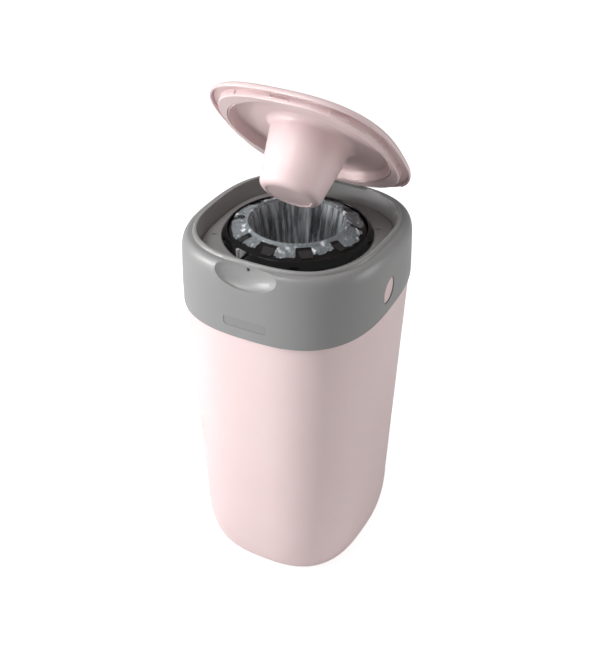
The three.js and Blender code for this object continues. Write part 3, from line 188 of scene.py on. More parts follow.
class Solid:
    """A body under construction, in millimetres."""

    def __init__(self) -> None:
        """Starts without a face."""
        self.bm = bmesh.new()

    @classmethod
    def turned(
        cls,
        profile: list[Point],
        height: float = 0.0,
        steps: int = TURN_STEPS,
        corner: float = 0.0,
        closed: bool = True,
    ) -> "Solid":
        """Turns a profile about Z.

        Args:
            profile: Radius and height of each corner.
            height: How far the whole profile is raised.
            steps: Chords of the full turn.
            corner: Size of the small round on each corner of the profile.
            closed: Whether a profile that starts off the axis closes on itself. An open one makes a sheet.

        Returns:
            The turned body.
        """
        body = cls()
        bm = body.bm
        line = [bm.verts.new((radius, 0.0, z + height)) for radius, z in profile]
        for near, far in zip(line, line[1:]):
            bm.edges.new((near, far))
        if closed and profile[0][0] > 0:
            bm.edges.new((line[-1], line[0]))
        if corner:
            between = [v for v in line if len(v.link_edges) == 2]
            body.eased(between, corner, held_back=True, where=Rounded.CORNERS)
        turn = {"angle": math.tau, "steps": steps, "use_merge": True}
        bmesh.ops.spin(bm, geom=bm.verts[:] + bm.edges[:], cent=(0, 0, 0), axis=(0, 0, 1), **turn)
        bmesh.ops.remove_doubles(bm, verts=bm.verts, dist=MERGE)
        return body.faced() if closed else body

    @classmethod
    def box(cls, low: Triple, high: Triple) -> "Solid":
        """Makes a box.

        Args:
            low: Its lowest corner.
            high: Its highest corner.

        Returns:
            The box.
        """
        body, start, end = cls(), Vector(low), Vector(high)
        body.block(end - start)
        return body.moved(*((start + end) / 2))

    @classmethod
    def rod(
        cls, axis: Axis, radius: float, start: float, end: float, across: Point, steps: int = 40
    ) -> "Solid":
        """Makes a cylinder along one axis.

        Args:
            axis: Its direction.
            radius: Its radius.
            start: Its start along the axis.
            end: Its end along the axis.
            across: The other two coordinates of its middle line.
            steps: Its number of sides.

        Returns:
            The cylinder.
        """
        body = cls()
        size = {"radius1": radius, "radius2": radius, "depth": end - start}
        bmesh.ops.create_cone(body.bm, cap_ends=True, segments=steps, **size)
        if axis is not Axis.Z:
            body.rotated(90.0, Axis.Y if axis is Axis.X else Axis.X)
        place = list(across)
        place.insert(list(Axis).index(axis), (start + end) / 2)
        return body.moved(*place)

    @classmethod
    def drawn(cls, corners: list[Triple], along: Triple) -> "Solid":
        """Carries a flat face along a line.

        Args:
            corners: Corners of the face.
            along: How far it is carried.

        Returns:
            The body.
        """
        body = cls()
        face = body.bm.faces.new([body.bm.verts.new(corner) for corner in corners])
        made = bmesh.ops.extrude_face_region(body.bm, geom=[face])["geom"]
        far = [v for v in made if isinstance(v, bmesh.types.BMVert)]
        bmesh.ops.translate(body.bm, vec=along, verts=far)
        return body.faced()

    @classmethod
    def slab(cls, outline: list[Point], start: float, end: float) -> "Solid":
        """Returns an outline in Y and Z carried along X."""
        return cls.drawn([(start, y, z) for y, z in outline], (end - start, 0, 0))

    @classmethod
    def ball(cls, half: Triple, centre: Triple) -> "Solid":
        """Makes an ellipsoid.

        Args:
            half: Its three half sizes.
            centre: Its middle.

        Returns:
            The ellipsoid.
        """
        body = cls()
        bmesh.ops.create_uvsphere(body.bm, u_segments=FINE_STEPS, v_segments=BALL_RINGS, radius=1.0)
        bmesh.ops.scale(body.bm, vec=half, verts=body.bm.verts)
        return body.moved(*centre)

    def block(self, size: Triple) -> Corners:
        """Adds a block about the middle.

        Args:
            size: Its three lengths.

        Returns:
            Its corners.
        """
        made = bmesh.ops.create_cube(self.bm, size=1.0)["verts"]
        bmesh.ops.scale(self.bm, vec=size, verts=made)
        return made

    def faced(self) -> "Solid":
        """Turns all faces outwards and returns the body."""
        bmesh.ops.recalc_face_normals(self.bm, faces=self.bm.faces)
        return self

    def moved(self, x: float, y: float, z: float, verts: Corners | None = None) -> "Solid":
        """Moves the body, or some of its corners, and returns it."""
        bmesh.ops.translate(self.bm, vec=(x, y, z), verts=verts or self.bm.verts)
        return self

    def rotated(
        self, degrees: float, axis: Axis, about: Triple = (0, 0, 0), verts: Corners | None = None
    ) -> "Solid":
        """Turns the body.

        Args:
            degrees: The angle.
            axis: The axis.
            about: A point on the axis.
            verts: The corners that turn, where it isn't the whole body.

        Returns:
            The body.
        """
        turn = Matrix.Rotation(math.radians(degrees), 3, axis.value)
        bmesh.ops.rotate(self.bm, cent=about, matrix=turn, verts=verts or self.bm.verts)
        return self

    def eased(
        self, geom: list, size: float, steps: int = 2, held_back: bool = False, where: Rounded = Rounded.EDGES
    ) -> "Solid":
        """Rounds some edges or corners.

        Args:
            geom: The edges or corners.
            size: Size of the round.
            steps: Chords of the round.
            held_back: Whether the round stays inside the faces beside it.
            where: Whether edges or corners are given.

        Returns:
            The body.
        """
        shape = {"offset": size, "segments": steps, "profile": 0.5, "clamp_overlap": held_back}
        bmesh.ops.bevel(self.bm, geom=geom, affect=where.value, material=-1, **shape)
        return self

    def trimmed(self, point: Triple, normal: Triple, ease: float) -> "Solid":
        """Cuts away what lies beyond a plane and closes the wall between the two rims.

        Args:
            point: A point of the plane.
            normal: Direction of what goes.
            ease: Size of the small round on the new edges.

        Returns:
            The body.
        """
        bm = self.bm
        geom = bm.verts[:] + bm.edges[:] + bm.faces[:]
        made = bmesh.ops.bisect_plane(bm, geom=geom, plane_co=point, plane_no=normal, clear_outer=True)
        rims = [e for e in made["geom_cut"] if isinstance(e, bmesh.types.BMEdge)]
        bmesh.ops.bridge_loops(bm, edges=rims)
        self.faced()
        return self.eased(rims, ease, held_back=True) if ease else self

    def met(self, meeting: Meeting, *others: "Solid") -> "Solid":
        """Joins, cuts or keeps the part in common with other bodies, which are used up.

        Args:
            meeting: What happens where they meet.
            others: The other bodies, in turn.

        Returns:
            This body, changed.
        """
        for other in others:
            blank, tool = placed_mesh("blank", self.bm), placed_mesh("tool", other.bm)
            step = blank.modifiers.new("meeting", "BOOLEAN")
            step.object = tool
            step.operation = meeting.value
            step.solver = "MANIFOLD"
            drawn = blank.evaluated_get(bpy.context.evaluated_depsgraph_get())
            self.bm = bmesh.new()
            self.bm.from_mesh(drawn.to_mesh())
            drawn.to_mesh_clear()
            for spent in (blank, tool):
                mesh = spent.data
                bpy.data.objects.remove(spent)
                bpy.data.meshes.remove(mesh)
        return self

    def joined(self, *others: "Solid") -> "Solid":
        """Joins other bodies on and returns the body."""
        return self.met(Meeting.JOIN, *others)

    def cut(self, *others: "Solid") -> "Solid":
        """Cuts other bodies away and returns the body."""
        return self.met(Meeting.CUT, *others)

    def kept(self, other: "Solid") -> "Solid":
        """Keeps what lies in another body too and returns the body."""
        return self.met(Meeting.KEEP, other)


@dataclass(frozen=True)
class Plan:
    """The rounded square that the tub, head and lid share."""

    half_width: float = 107.0
    half_depth: float = 110.0
    exponent: float = 2.76
    step_height: float = 421.0
    seam_drop_front: float = 83.4
    seam_drop_rear: float = 59.8
    seam_gap: float = 0.4
    skirt_half: float = 116.0
    axis_y: float = -1.5

    @property
    def depth_share(self) -> float:
        """Depth of the plan over its width."""
        return self.half_depth / self.half_width

    @property
    def seam_mid(self) -> float:
        """Height of the seam over the middle of the tub."""
        return self.step_height - (self.seam_drop_front + self.seam_drop_rear) / 2

    @property
    def seam_up(self) -> Triple:
        """Direction square to the seam, upwards."""
        slope = (self.seam_drop_front - self.seam_drop_rear) / (2 * self.skirt_half * self.depth_share)
        return tuple(Vector((0.0, -slope, 1.0)).normalized())

    def reach(self, x: float, y: float) -> float:
        """Says how far the plan reaches in a direction.

        Args:
            x: Direction along X.
            y: Direction along Y.

        Returns:
            The reach as a share of the half width.
        """
        length = math.hypot(x, y)
        if length < NO_LENGTH:
            return 1.0
        across = abs(x / length) ** self.exponent
        along = abs(y / (length * self.depth_share)) ** self.exponent
        return (across + along) ** (-1 / self.exponent)

    def turned(
        self,
        profile: list[Point],
        height: float = 0.0,
        steps: int = SQUARE_STEPS,
        corner: float = 0.0,
        blend: Point | None = None,
    ) -> Solid:
        """Turns a profile and makes it the rounded square of the plan.

        Args:
            profile: Radius and height of each corner.
            height: How far the whole profile is raised.
            steps: Chords of the full turn.
            corner: Size of the small round on each corner of the profile.
            blend: Radius up to which it stays round, and radius from which it is fully squared.

        Returns:
            The body.
        """
        solid = Solid.turned(profile, height, steps, corner)
        for v in solid.bm.verts:
            weight = 1.0
            if blend:
                t = held((math.hypot(v.co.x, v.co.y) - blend[0]) / (blend[1] - blend[0]))
                weight = t * t * (3 - 2 * t)
            share = 1 + (self.reach(v.co.x, v.co.y) - 1) * weight
            v.co.x *= share
            v.co.y *= share
        return solid


PLAN = Plan()


@dataclass(frozen=True)
class Hinge:
    """A pin hinge across the rear, with knuckles on both sides of the middle."""

    y: float
    z: float
    barrel: float
    bore: float
    inner: float
    split: float
    outer: float
    play: float = 0.3

    def knuckles(self, start: float, end: float, bracket: list[Point]) -> Solid:
        """Makes a pair of knuckles with their brackets.

        Args:
            start: Nearer end from the middle.
            end: Farther end from the middle.
            bracket: Outline in Y and Z that carries each knuckle.

        Returns:
            Both knuckles.
        """
        pair: list[Solid] = []
        for side in Side:
            low, high = side.span(start, end)
            one = Solid.rod(Axis.X, self.barrel, low, high, (self.y, self.z))
            pair.append(one.joined(Solid.slab(bracket, low, high)))
        return pair[0].joined(pair[1])

    def pin_bore(self) -> Solid:
        """Returns the hole for the pin."""
        return Solid.rod(Axis.X, self.bore, -self.outer - OVERRUN, self.outer + OVERRUN, (self.y, self.z))


HEAD_HINGE = Hinge(y=120.552, z=361.2, barrel=4.2, bore=2.3, inner=14, split=25.3, outer=36.5)
LID_HINGE = Hinge(y=111.5, z=432.0, barrel=3.8, bore=2.0, inner=11, split=22.5, outer=31)
LID_OPEN = 47.0


class Nodes:
    """The nodes of one tree."""

    def __init__(self, tree: bpy.types.NodeTree) -> None:
        """Takes over a tree."""
        self.tree = tree

    def add(self, kind: str, inputs: dict | None = None, **settings: object) -> bpy.types.Node:
        """Adds a node.

        Args:
            kind: Its type.
            inputs: Values of its inputs, by name or place.
            settings: Its own settings.

        Returns:
            The node.
        """
        node = self.tree.nodes.new(kind)
        for key, value in settings.items():
            setattr(node, key, value)
        for key, value in (inputs or {}).items():
            node.inputs[key].default_value = value
        return node

    def wire(self, *joins: tuple[bpy.types.Node, str | int, bpy.types.Node, str | int]) -> None:
        """Joins an output of one node to an input of another, for each join given."""
        for source, output, target, socket in joins:
            self.tree.links.new(source.outputs[output], target.inputs[socket])


class Group(Nodes):
    """A node group with number sockets, and a node that gives the place on the object."""

    def __init__(self, name: str, inputs: dict[str, float], outputs: tuple[str, ...]) -> None:
        """Starts the group.

        Args:
            name: Its name.
            inputs: Its inputs and their usual values.
            outputs: Its outputs.
        """
        super().__init__(bpy.data.node_groups.new(name, "ShaderNodeTree"))
        face = self.tree.interface
        for key, value in inputs.items():
            face.new_socket(name=key, in_out="INPUT", socket_type="NodeSocketFloat").default_value = value
        for key in outputs:
            face.new_socket(name=key, in_out="OUTPUT", socket_type="NodeSocketFloat")
        self.entry = self.add("NodeGroupInput")
        self.leave = self.add("NodeGroupOutput")
        self.place = self.add("ShaderNodeTexCoord")


class Shade(Nodes):
    """The nodes of one material."""

    def __init__(self, name: str, surface: str = "ShaderNodeBsdfPrincipled") -> None:
        """Starts the material.

        Args:
            name: Its name.
            surface: Type of the node that makes its surface.
        """
        self.material = bpy.data.materials.new(name)
        self.material.use_nodes = True
        super().__init__(self.material.node_tree)
        self.tree.nodes.clear()
        self.surface = self.add(surface)
        self.wire((self.surface, 0, self.add("ShaderNodeOutputMaterial"), "Surface"))

    def tint(self, factor: bpy.types.Node, output: str, low: Triple, high: Triple) -> None:
        """Mixes the base colour between two shades by a value.

        Args:
            factor: Node that gives the value.
            output: Its output.
            low: Colour at zero.
            high: Colour at one.
        """
        # Inputs 6 and 7 of a colour mix are its two colours, and output 2 is the mixed one.
        mix = self.add("ShaderNodeMix", {6: (*low, 1.0), 7: (*high, 1.0)}, data_type="RGBA")
        self.wire((factor, output, mix, 0), (mix, 2, self.surface, "Base Color"))

    def rough(self, factor: bpy.types.Node, output: str, low: float, high: float) -> None:
        """Lets a value move the roughness between two numbers."""
        span = self.add("ShaderNodeMapRange", {"To Min": low, "To Max": high})
        self.wire((factor, output, span, "Value"), (span, "Result", self.surface, "Roughness"))

    def bump(self, factor: bpy.types.Node, output: str, strength: float, distance: float) -> None:
        """Lets a value raise the surface."""
        node = self.add("ShaderNodeBump", {"Strength": strength, "Distance": distance})
        self.wire((factor, output, node, "Height"), (node, "Normal", self.surface, "Normal"))


def moulding_skin() -> bpy.types.NodeTree:
    """Builds the fine grain and slow drift of a moulded surface, once.

    Returns:
        A group with the inputs Grain Scale and Drift Scale and the outputs Grain and Drift.
    """
    name = "Moulding skin"
    if name in bpy.data.node_groups:
        return bpy.data.node_groups[name]
    group = Group(name, {"Grain Scale": 2200.0, "Drift Scale": 9.0}, ("Grain", "Drift"))
    for output, detail in (("Grain", 3.0), ("Drift", 2.0)):
        cloud = group.add("ShaderNodeTexNoise", {"Detail": detail})
        group.wire(
            (group.place, "Object", cloud, "Vector"),
            (group.entry, f"{output} Scale", cloud, "Scale"), (cloud, "Fac", group.leave, output),
        )
    return group.tree


def film_creases() -> bpy.types.NodeTree:
    """Builds the creases of drawn film, once.

    Returns:
        A group with the input Crease Scale and the outputs Crease, for crumpled flaps, and Streak, for the
        fine pleats that run down a gathered throat.
    """
    name = "Film creases"
    if name in bpy.data.node_groups:
        return bpy.data.node_groups[name]
    group = Group(name, {"Crease Scale": 150.0}, ("Crease", "Streak"))
    ridges = group.add("ShaderNodeTexNoise", {"Detail": 3.0}, noise_type="RIDGED_MULTIFRACTAL")
    apart = group.add("ShaderNodeSeparateXYZ")
    turn = group.add("ShaderNodeMath", operation="ARCTAN2")
    unrolled = group.add("ShaderNodeCombineXYZ")
    squeeze = group.add("ShaderNodeVectorMath", {1: PLEAT_SCALE}, operation="MULTIPLY")
    streaks = group.add("ShaderNodeTexNoise", {"Scale": 1.0, "Detail": 3.0, "Roughness": 0.6})
    group.wire(
        (group.place, "Object", ridges, "Vector"),
        (group.entry, "Crease Scale", ridges, "Scale"), (ridges, "Fac", group.leave, "Crease"),
        (group.place, "Object", apart, 0), (apart, "Y", turn, 0), (apart, "X", turn, 1),
        (turn, 0, unrolled, "X"), (apart, "Z", unrolled, "Y"), (unrolled, 0, squeeze, 0),
        (squeeze, 0, streaks, "Vector"), (streaks, "Fac", group.leave, "Streak"),
    )
    return group.tree


@dataclass(frozen=True)
class Finish:
    """A finish, which becomes one material."""

    name: str

    def material(self) -> bpy.types.Material:
        """Makes the finish a material, once.

        Returns:
            The material.
        """
        if self.name not in bpy.data.materials:
            self.dress(Shade(self.name))
        return bpy.data.materials[self.name]

    def dress(self, shade: Shade) -> None:
        """Adds what the finish needs to a new material."""


@dataclass(frozen=True)
class Plastic(Finish):
    """A moulded plastic with a fine grain and a slow drift of tone."""

    low: Triple
    high: Triple
    roughness: Point = (0.36, 0.42)
    grain_scale: float = 2200.0
    grain_height: float = 0.00002
    coat: float = 0.0
    scatter: float = 0.0
    sheen_level: float = 0.5
    coat_roughness: float = 0.12
    grain_strength: float = 0.35
    scatter_depths: Triple = (0.004, 0.0025, 0.0025)

    def dress(self, shade: Shade) -> None:
        """Adds grain, drift, coat and scatter to a new material.

        Args:
            shade: The material's nodes.
        """
        skin = shade.add("ShaderNodeGroup", node_tree=moulding_skin())
        skin.inputs["Grain Scale"].default_value = self.grain_scale
        shade.tint(skin, "Drift", self.low, self.high)
        shade.rough(skin, "Drift", *self.roughness)
        shade.bump(skin, "Grain", self.grain_strength, self.grain_height)
        for key, value in {
            "Specular IOR Level": self.sheen_level,
            "Coat Weight": self.coat,
            "Coat Roughness": self.coat_roughness,
            "Subsurface Weight": self.scatter,
            "Subsurface Radius": self.scatter_depths,
        }.items():
            shade.surface.inputs[key].default_value = value


@dataclass(frozen=True)
class Steel(Finish):
    """Drawn or rolled steel with fine lines."""

    low: Triple
    high: Triple
    line_scale: Triple = (40.0, 2600.0, 2600.0)
    roughness: Point = (0.22, 0.38)
    relief: Point = (0.2, 0.00002)

    def dress(self, shade: Shade) -> None:
        """Adds drawn lines and the metal to a new material.

        Args:
            shade: The material's nodes.
        """
        place = shade.add("ShaderNodeTexCoord")
        spread = shade.add("ShaderNodeMapping", {"Scale": self.line_scale})
        lines = shade.add("ShaderNodeTexNoise", {"Scale": 1.0})
        shade.wire((place, "Object", spread, "Vector"), (spread, "Vector", lines, "Vector"))
        shade.tint(lines, "Fac", self.low, self.high)
        shade.rough(lines, "Fac", *self.roughness)
        shade.bump(lines, "Fac", *self.relief)
        shade.surface.inputs["Metallic"].default_value = 1.0


@dataclass(frozen=True)
class Film(Finish):
    """Thin translucent film, veined by creases or by long pleats, with painted shade and highlight along the
    veins.
    """

    vein: Vein
    clear: float
    milky: float
    edges: Point
    crease_scale: float = 150.0
    # Colours of the painted shade in the folds and the painted highlight on the veins.
    shaded: Triple = (0.7, 0.78, 0.83)
    bright: Triple = (0.98, 0.99, 1.0)
    roughness: Point = (0.28, 0.16)
    relief: Point = (0.5, 0.001)

    def dress(self, shade: Shade) -> None:
        """Adds veins, painted shade and highlight along them, and cover that follows them, to a new material.

        Args:
            shade: The material's nodes.
        """
        veins = shade.add("ShaderNodeGroup", node_tree=film_creases())
        veins.inputs["Crease Scale"].default_value = self.crease_scale
        veil = shade.add("ShaderNodeMapRange", {"From Min": self.edges[0], "From Max": self.edges[1]})
        cover = shade.add("ShaderNodeMapRange", {"To Min": self.clear, "To Max": self.milky})
        shade.wire(
            (veins, self.vein.value, veil, "Value"),
            (veil, "Result", cover, "Value"), (cover, "Result", shade.surface, "Alpha"),
        )
        # Painted shade between the veins and a painted highlight along them.
        shade.tint(veil, "Result", self.shaded, self.bright)
        shade.rough(veil, "Result", *self.roughness)
        shade.bump(veins, self.vein.value, *self.relief)


PINK = Plastic("Pink polypropylene", (0.83, 0.655, 0.655), (0.86, 0.69, 0.69), scatter=0.12)
LID_PINK = Plastic(
    "Pink lid polypropylene", (0.82, 0.64, 0.64), (0.85, 0.675, 0.675), (0.3, 0.36), scatter=0.08
)
PAD_PINK = Plastic("Pink button plastic", (0.8, 0.6, 0.61), (0.84, 0.65, 0.66), (0.3, 0.36))
GREY = Plastic(
    "Warm grey plastic",
    (0.262, 0.261, 0.26),
    (0.277, 0.276, 0.275),
    (0.32, 0.38),
    coat=0.2,
    coat_roughness=0.42,
)
# Painted shade: the sunk panel's floor is a little darker than the casing grey, so that it reads as sunk; its
# rougher etched grain is the plastic's own.
RECESS_GREY_WITH_PAINTED_SHADE = Plastic(
    "Etched grey plastic with painted shade", (0.25, 0.249, 0.248), (0.265, 0.264, 0.263), (0.6, 0.7), 900.0, 0.00005
)
TRAY_GREY = Plastic(
    "Matt grey plastic", (0.25, 0.25, 0.248), (0.275, 0.275, 0.272), (0.48, 0.58), 900.0, 0.00006
)
GUIDE_GREY = Plastic("Inner grey plastic", (0.28, 0.28, 0.28), (0.31, 0.31, 0.31), (0.5, 0.6))
PAWL_GREY = Plastic("Post grey plastic", (0.4, 0.4, 0.4), (0.45, 0.45, 0.45), (0.35, 0.45))
BLACK = Plastic(
    "Gloss black plastic", (0.003, 0.003, 0.003), (0.005, 0.005, 0.005), (0.1, 0.15), sheen_level=0.35
)
CAP_BLACK = Plastic(
    "Satin black plastic", (0.004, 0.004, 0.004), (0.007, 0.007, 0.007), (0.28, 0.38), sheen_level=0.25
)
PETAL_BLACK = Plastic(
    "Petal grey plastic",
    (0.016, 0.016, 0.017),
    (0.026, 0.026, 0.027),
    (0.34, 0.46),
    1200.0,
    0.00005,
    sheen_level=0.35,
)
CUTTER_BLACK = Plastic("Matt black plastic", (0.02, 0.02, 0.02), (0.03, 0.03, 0.03), (0.45, 0.55))
GRIP = Plastic("Matt black rubber", (0.02, 0.02, 0.021), (0.032, 0.032, 0.033), (0.75, 0.9), 700.0, 0.0001)
PIN_STEEL = Steel("Drawn steel", (0.42, 0.42, 0.43), (0.62, 0.62, 0.63))
SPRING_STEEL = Steel("Spring steel", (0.4, 0.4, 0.42), (0.58, 0.58, 0.6), (2600.0, 2600.0, 40.0))
FLAP_FILM = Film("Crumpled film", Vein.CREASE, 0.26, 1.0, (0.13, 0.48), 120.0)
THROAT_FILM = Film("Pleated film", Vein.STREAK, 0.14, 0.85, (0.36, 0.8))
PACK_FILM = Film("Folded film", Vein.STREAK, 0.7, 0.95, (0.3, 0.7))


@dataclass(frozen=True)
class Dress:
    """What a finished piece rides on, stands for and is made of."""

    body: str
    slot: str
    finish: Finish
    nodes: tuple[str, ...] = ()
    crease: float = 32.0


def finished(name: str, solid: Solid, dress: Dress) -> bpy.types.Object:
    """Turns a body in millimetres into a dressed piece in metres.

    Args:
        name: The piece's name.
        solid: The body, which is used up.
        dress: Its CAD body, slot, finish and CAD nodes.

    Returns:
        The piece.
    """
    bmesh.ops.scale(solid.bm, vec=(MM, MM, MM), verts=solid.bm.verts)
    piece = placed_mesh(name, solid.bm)
    piece.data.shade_smooth()
    piece.data.set_sharp_from_angle(angle=math.radians(dress.crease))
    piece.data.materials.append(dress.finish.material())
    even = piece.modifiers.new("even shading", "WEIGHTED_NORMAL")
    even.keep_sharp = True
    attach(piece, dress.body)
    if dress.nodes:
        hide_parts(*dress.nodes)
    log.info("%s: %d faces on body %s", name, len(piece.data.polygons), dress.body)
    return piece


@dataclass
class Tub:
    """The tall pink tub with its lip and hinge knuckles."""

    base_half: float = 98.8
    base_half_depth: float = 108.5
    seam_half: float = 115.1
    wall: float = 2.6
    floor: float = 3.0
    fillet_reach: float = 20.0
    fillet_height: float = 68.0
    groove_inner: float = 56.0
    groove_width: float = 9.0
    groove_depth: float = 1.2
    lip_wall: float = 2.4
    lip_rise: float = 6.0
    lip_depth: float = 16.0
    edge_round: float = 0.45

    def seamed(self, profile: list[Point], rise: float, ease: float) -> Solid:
        """Turns a profile, deepens it towards the foot and cuts it along the slanted seam.

        Args:
            profile: Radius and height of each corner.
            rise: Height of the cut over the seam.
            ease: Size of the small round on the cut.

        Returns:
            The body.
        """
        body = PLAN.turned(profile)
        foot = self.base_half_depth / (self.base_half * PLAN.depth_share)
        for v in body.bm.verts:
            climbed = held((v.co.z - self.fillet_height) / (HEAD_HINGE.z - self.fillet_height))
            v.co.y *= foot + (1 - foot) * climbed
        return body.trimmed((0, 0, PLAN.seam_mid + rise), PLAN.seam_up, ease)

    def wall_body(self) -> Solid:
        """Makes the tapered wall and floor.

        Returns:
            The body.
        """
        top = HEAD_HINGE.z + OVERRUN
        middle = (self.base_half - self.fillet_reach, self.fillet_height)
        groove_outer = self.groove_inner + self.groove_width
        profile = [
            (0.0, 0.0), (self.groove_inner, 0.0), (self.groove_inner, self.groove_depth),
            (groove_outer, self.groove_depth), (groove_outer, 0.0),
            *arc(middle, self.fillet_reach, self.fillet_height, -90, 0, 24), (self.seam_half, top),
            (self.seam_half - self.wall, top),
            *arc(middle, self.fillet_reach - self.wall, self.fillet_height - self.floor, 0, -90, 12),
            (0.0, self.floor),
        ]
        return self.seamed(profile, -PLAN.seam_gap / 2, self.edge_round)

    def lip_body(self) -> Solid:
        """Makes the thin lip that the head sits round.

        Returns:
            The body.
        """
        outer = self.seam_half - self.wall
        inner = outer - self.lip_wall
        low = PLAN.step_height - PLAN.seam_drop_front - self.lip_depth
        top = HEAD_HINGE.z + 2 * OVERRUN
        return self.seamed([(inner, low), (outer, low), (outer, top), (inner, top)], self.lip_rise, 0.0)

    def build(self) -> None:
        """Makes the tub."""
        h = HEAD_HINGE
        bracket = [
            (h.y - 2 * h.barrel, h.z - 4 * h.barrel), (h.y + h.barrel, h.z), (h.y - h.barrel, h.z),
            (h.y - 1.5 * h.barrel, h.z - h.barrel),
        ]
        body = self.wall_body().joined(self.lip_body())
        for side in Side:
            low, high = side.span(h.inner - h.play, h.split)
            room_low = (low, h.y - h.barrel - OVERRUN / 5, h.z - h.barrel - 2 * h.play)
            body.cut(Solid.box(room_low, (high, h.y + 2 * h.barrel, h.z + 3 * h.barrel)))
        body.joined(h.knuckles(h.split + h.play, h.outer, bracket)).cut(h.pin_bore())
        finished("tub", body, Dress("tub", "tub_plastic", PINK, ("tub_shell",)))


@dataclass
class Head:
    """The grey head: outer casing, rim, finger scoop and side windows."""

    wall: float = 2.4
    skirt_half: float = 116.0
    shoulder_half: float = 115.3
    shoulder_drop: float = 20.0
    shoulder_exponent: float = 2.3
    shoulder_steps: int = 16
    ledge_width: float = 2.6
    rim_rise: float = 3.0
    rim_bevel: float = 1.3
    rim_crown: float = 1.6
    rim_edge: float = 0.3
    rim_steps: int = 3
    inner_draft: float = 4.0
    inner_drop: float = 19.0
    ledge_inner: float = 90.15
    ledge_thickness: float = 2.4
    round_inside: float = 83.1
    seam_round: float = 0.35
    scoop_half: Triple = (40.0, 11.5, 22.0)
    scoop_drop: float = 2.0
    scoop_wall: float = 2.2
    inset: float = 0.5
    drain_radius: float = 1.9
    drain_drop: float = 4.0
    recess_size: Point = (52.0, 11.5)
    recess_corner: float = 3.5
    recess_depth: float = 0.8
    recess_drop: float = 65.0
    window_half: Point = (10.6, 15.8)
    window_y: float = -12.0
    window_drop: float = 47.0
    window_lean: float = 34.0
    pad_gap: float = 0.9
    pad_depth: float = 5.5
    pad_round: float = 0.7
    shelf: Triple = (9.0, 29.0, 2.0)
    shelf_reach: Point = (110.0, 114.8)
    pocket_half: float = 33.0
    pocket_floor: float = 0.5
    bracket_inset: float = 1.3
    steps: int = 176

    @property
    def front(self) -> float:
        """Y of the front of the skirt."""
        return -self.skirt_half * PLAN.depth_share

    def turned(self, profile: list[Point]) -> Solid:
        """Returns a profile given from the step, turned round inside and squared outside."""
        blend = (self.round_inside, self.ledge_inner)
        return PLAN.turned(profile, PLAN.step_height, self.steps, blend=blend)

    def outline(self) -> list[Point]:
        """Draws the outer contour from the skirt over the shoulder to the step.

        Returns:
            The points from the skirt's lower end.
        """
        shoulder: list[Point] = []
        spread = self.shoulder_half - PLAN.half_width
        for i in range(self.shoulder_steps + 1):
            drop = 1 - math.sin(math.pi / 2 * i / self.shoulder_steps)
            across = max(1 - (1 - drop) ** self.shoulder_exponent, 0.0) ** (1 / self.shoulder_exponent)
            shoulder.append((PLAN.half_width + spread * across, -self.shoulder_drop * drop))
        low = -PLAN.seam_drop_front - OVERRUN
        return [(self.skirt_half, low), (self.skirt_half, -2.5 * self.shoulder_drop), *shoulder]

    def rim(self) -> list[Point]:
        """Draws the raised rim that the lid closes over.

        Returns:
            The points from its outer foot.
        """
        foot = PLAN.half_width - self.ledge_width
        crown = foot - 2 * self.rim_bevel
        top = self.rim_rise
        points = [
            (foot, 0.0), (foot - self.rim_bevel / 2, top - self.rim_bevel),
            (crown + self.rim_bevel / 2, top), (crown + self.rim_edge - self.rim_crown, top),
            (crown - self.rim_crown, top - self.rim_edge),
        ]
        return flowing(points, self.rim_steps)

    def scoop(self, grown: float) -> Solid:
        """Returns the ellipsoid of the finger scoop, grown by a wall."""
        half = tuple(size + grown for size in self.scoop_half)
        return Solid.ball(half, (0, self.front, PLAN.step_height - self.scoop_drop))

    def window(self, low: float, high: float, gap: float = 0.0) -> Solid:
        """Makes the leaning lens of a side window.

        Args:
            low: Its lower end along X.
            high: Its higher end along X.
            gap: How much smaller it is all round.

        Returns:
            The lens.
        """
        across, along = (size - gap for size in self.window_half)
        radius = (along**2 + across**2) / (2 * across)
        lens = Solid.rod(Axis.X, radius, low, high, (across - radius, 0), FINE_STEPS)
        lens.kept(Solid.rod(Axis.X, radius, low, high, (radius - across, 0), FINE_STEPS))
        lens.rotated(-self.window_lean, Axis.X)
        return lens.moved(0, self.window_y, PLAN.step_height - self.window_drop)

    def recess(self) -> Solid:
        """Makes the room of the bare sunk panel, whose floor follows the curved wall.

        Returns:
            The body that is cut away.
        """
        wide, high = (size / 2 for size in self.recess_size)
        block = Solid.box((-wide, -PLAN.half_depth - 4 * OVERRUN, -high), (wide, -2 * OVERRUN, high))
        standing = [e for e in block.bm.edges if abs(e.verts[0].co.y - e.verts[1].co.y) > OVERRUN]
        block.eased(standing, self.recess_corner, 6)
        block.moved(0, 0, PLAN.step_height - self.recess_drop)
        floor, outer = self.skirt_half - self.recess_depth, self.skirt_half + OVERRUN
        tall = 2 * self.recess_size[1]
        low, top = -self.recess_drop - tall, -self.recess_drop + tall
        band = [(floor, low), (outer, low), (outer, top), (floor, top)]
        return PLAN.turned(band, PLAN.step_height, self.steps).kept(block)

    def casing(self) -> Solid:
        """Makes the casing with its scoop.

        Returns:
            The body.
        """
        rim = self.rim()
        top = rim[-1][0]
        foot = top - self.inner_draft
        under = -self.inner_drop - self.ledge_thickness
        inner_skirt = self.skirt_half - self.wall
        profile = [
            *self.outline(), *rim, (foot, -self.inner_drop), (self.ledge_inner, -self.inner_drop),
            (self.ledge_inner, under), (foot + self.wall, under), (top + self.wall, -self.wall),
            (PLAN.half_width - self.wall / 2, -self.wall),
            (PLAN.half_width + self.wall, -self.shoulder_drop / 4),
            (self.shoulder_half - self.wall, -self.shoulder_drop),
            (inner_skirt, -2.5 * self.shoulder_drop),
            (inner_skirt, -PLAN.seam_drop_front - OVERRUN),
        ]
        down = tuple(-n for n in PLAN.seam_up)
        seam = (0, 0, PLAN.seam_mid + PLAN.seam_gap / 2)
        body = self.turned(profile).trimmed(seam, down, self.seam_round)
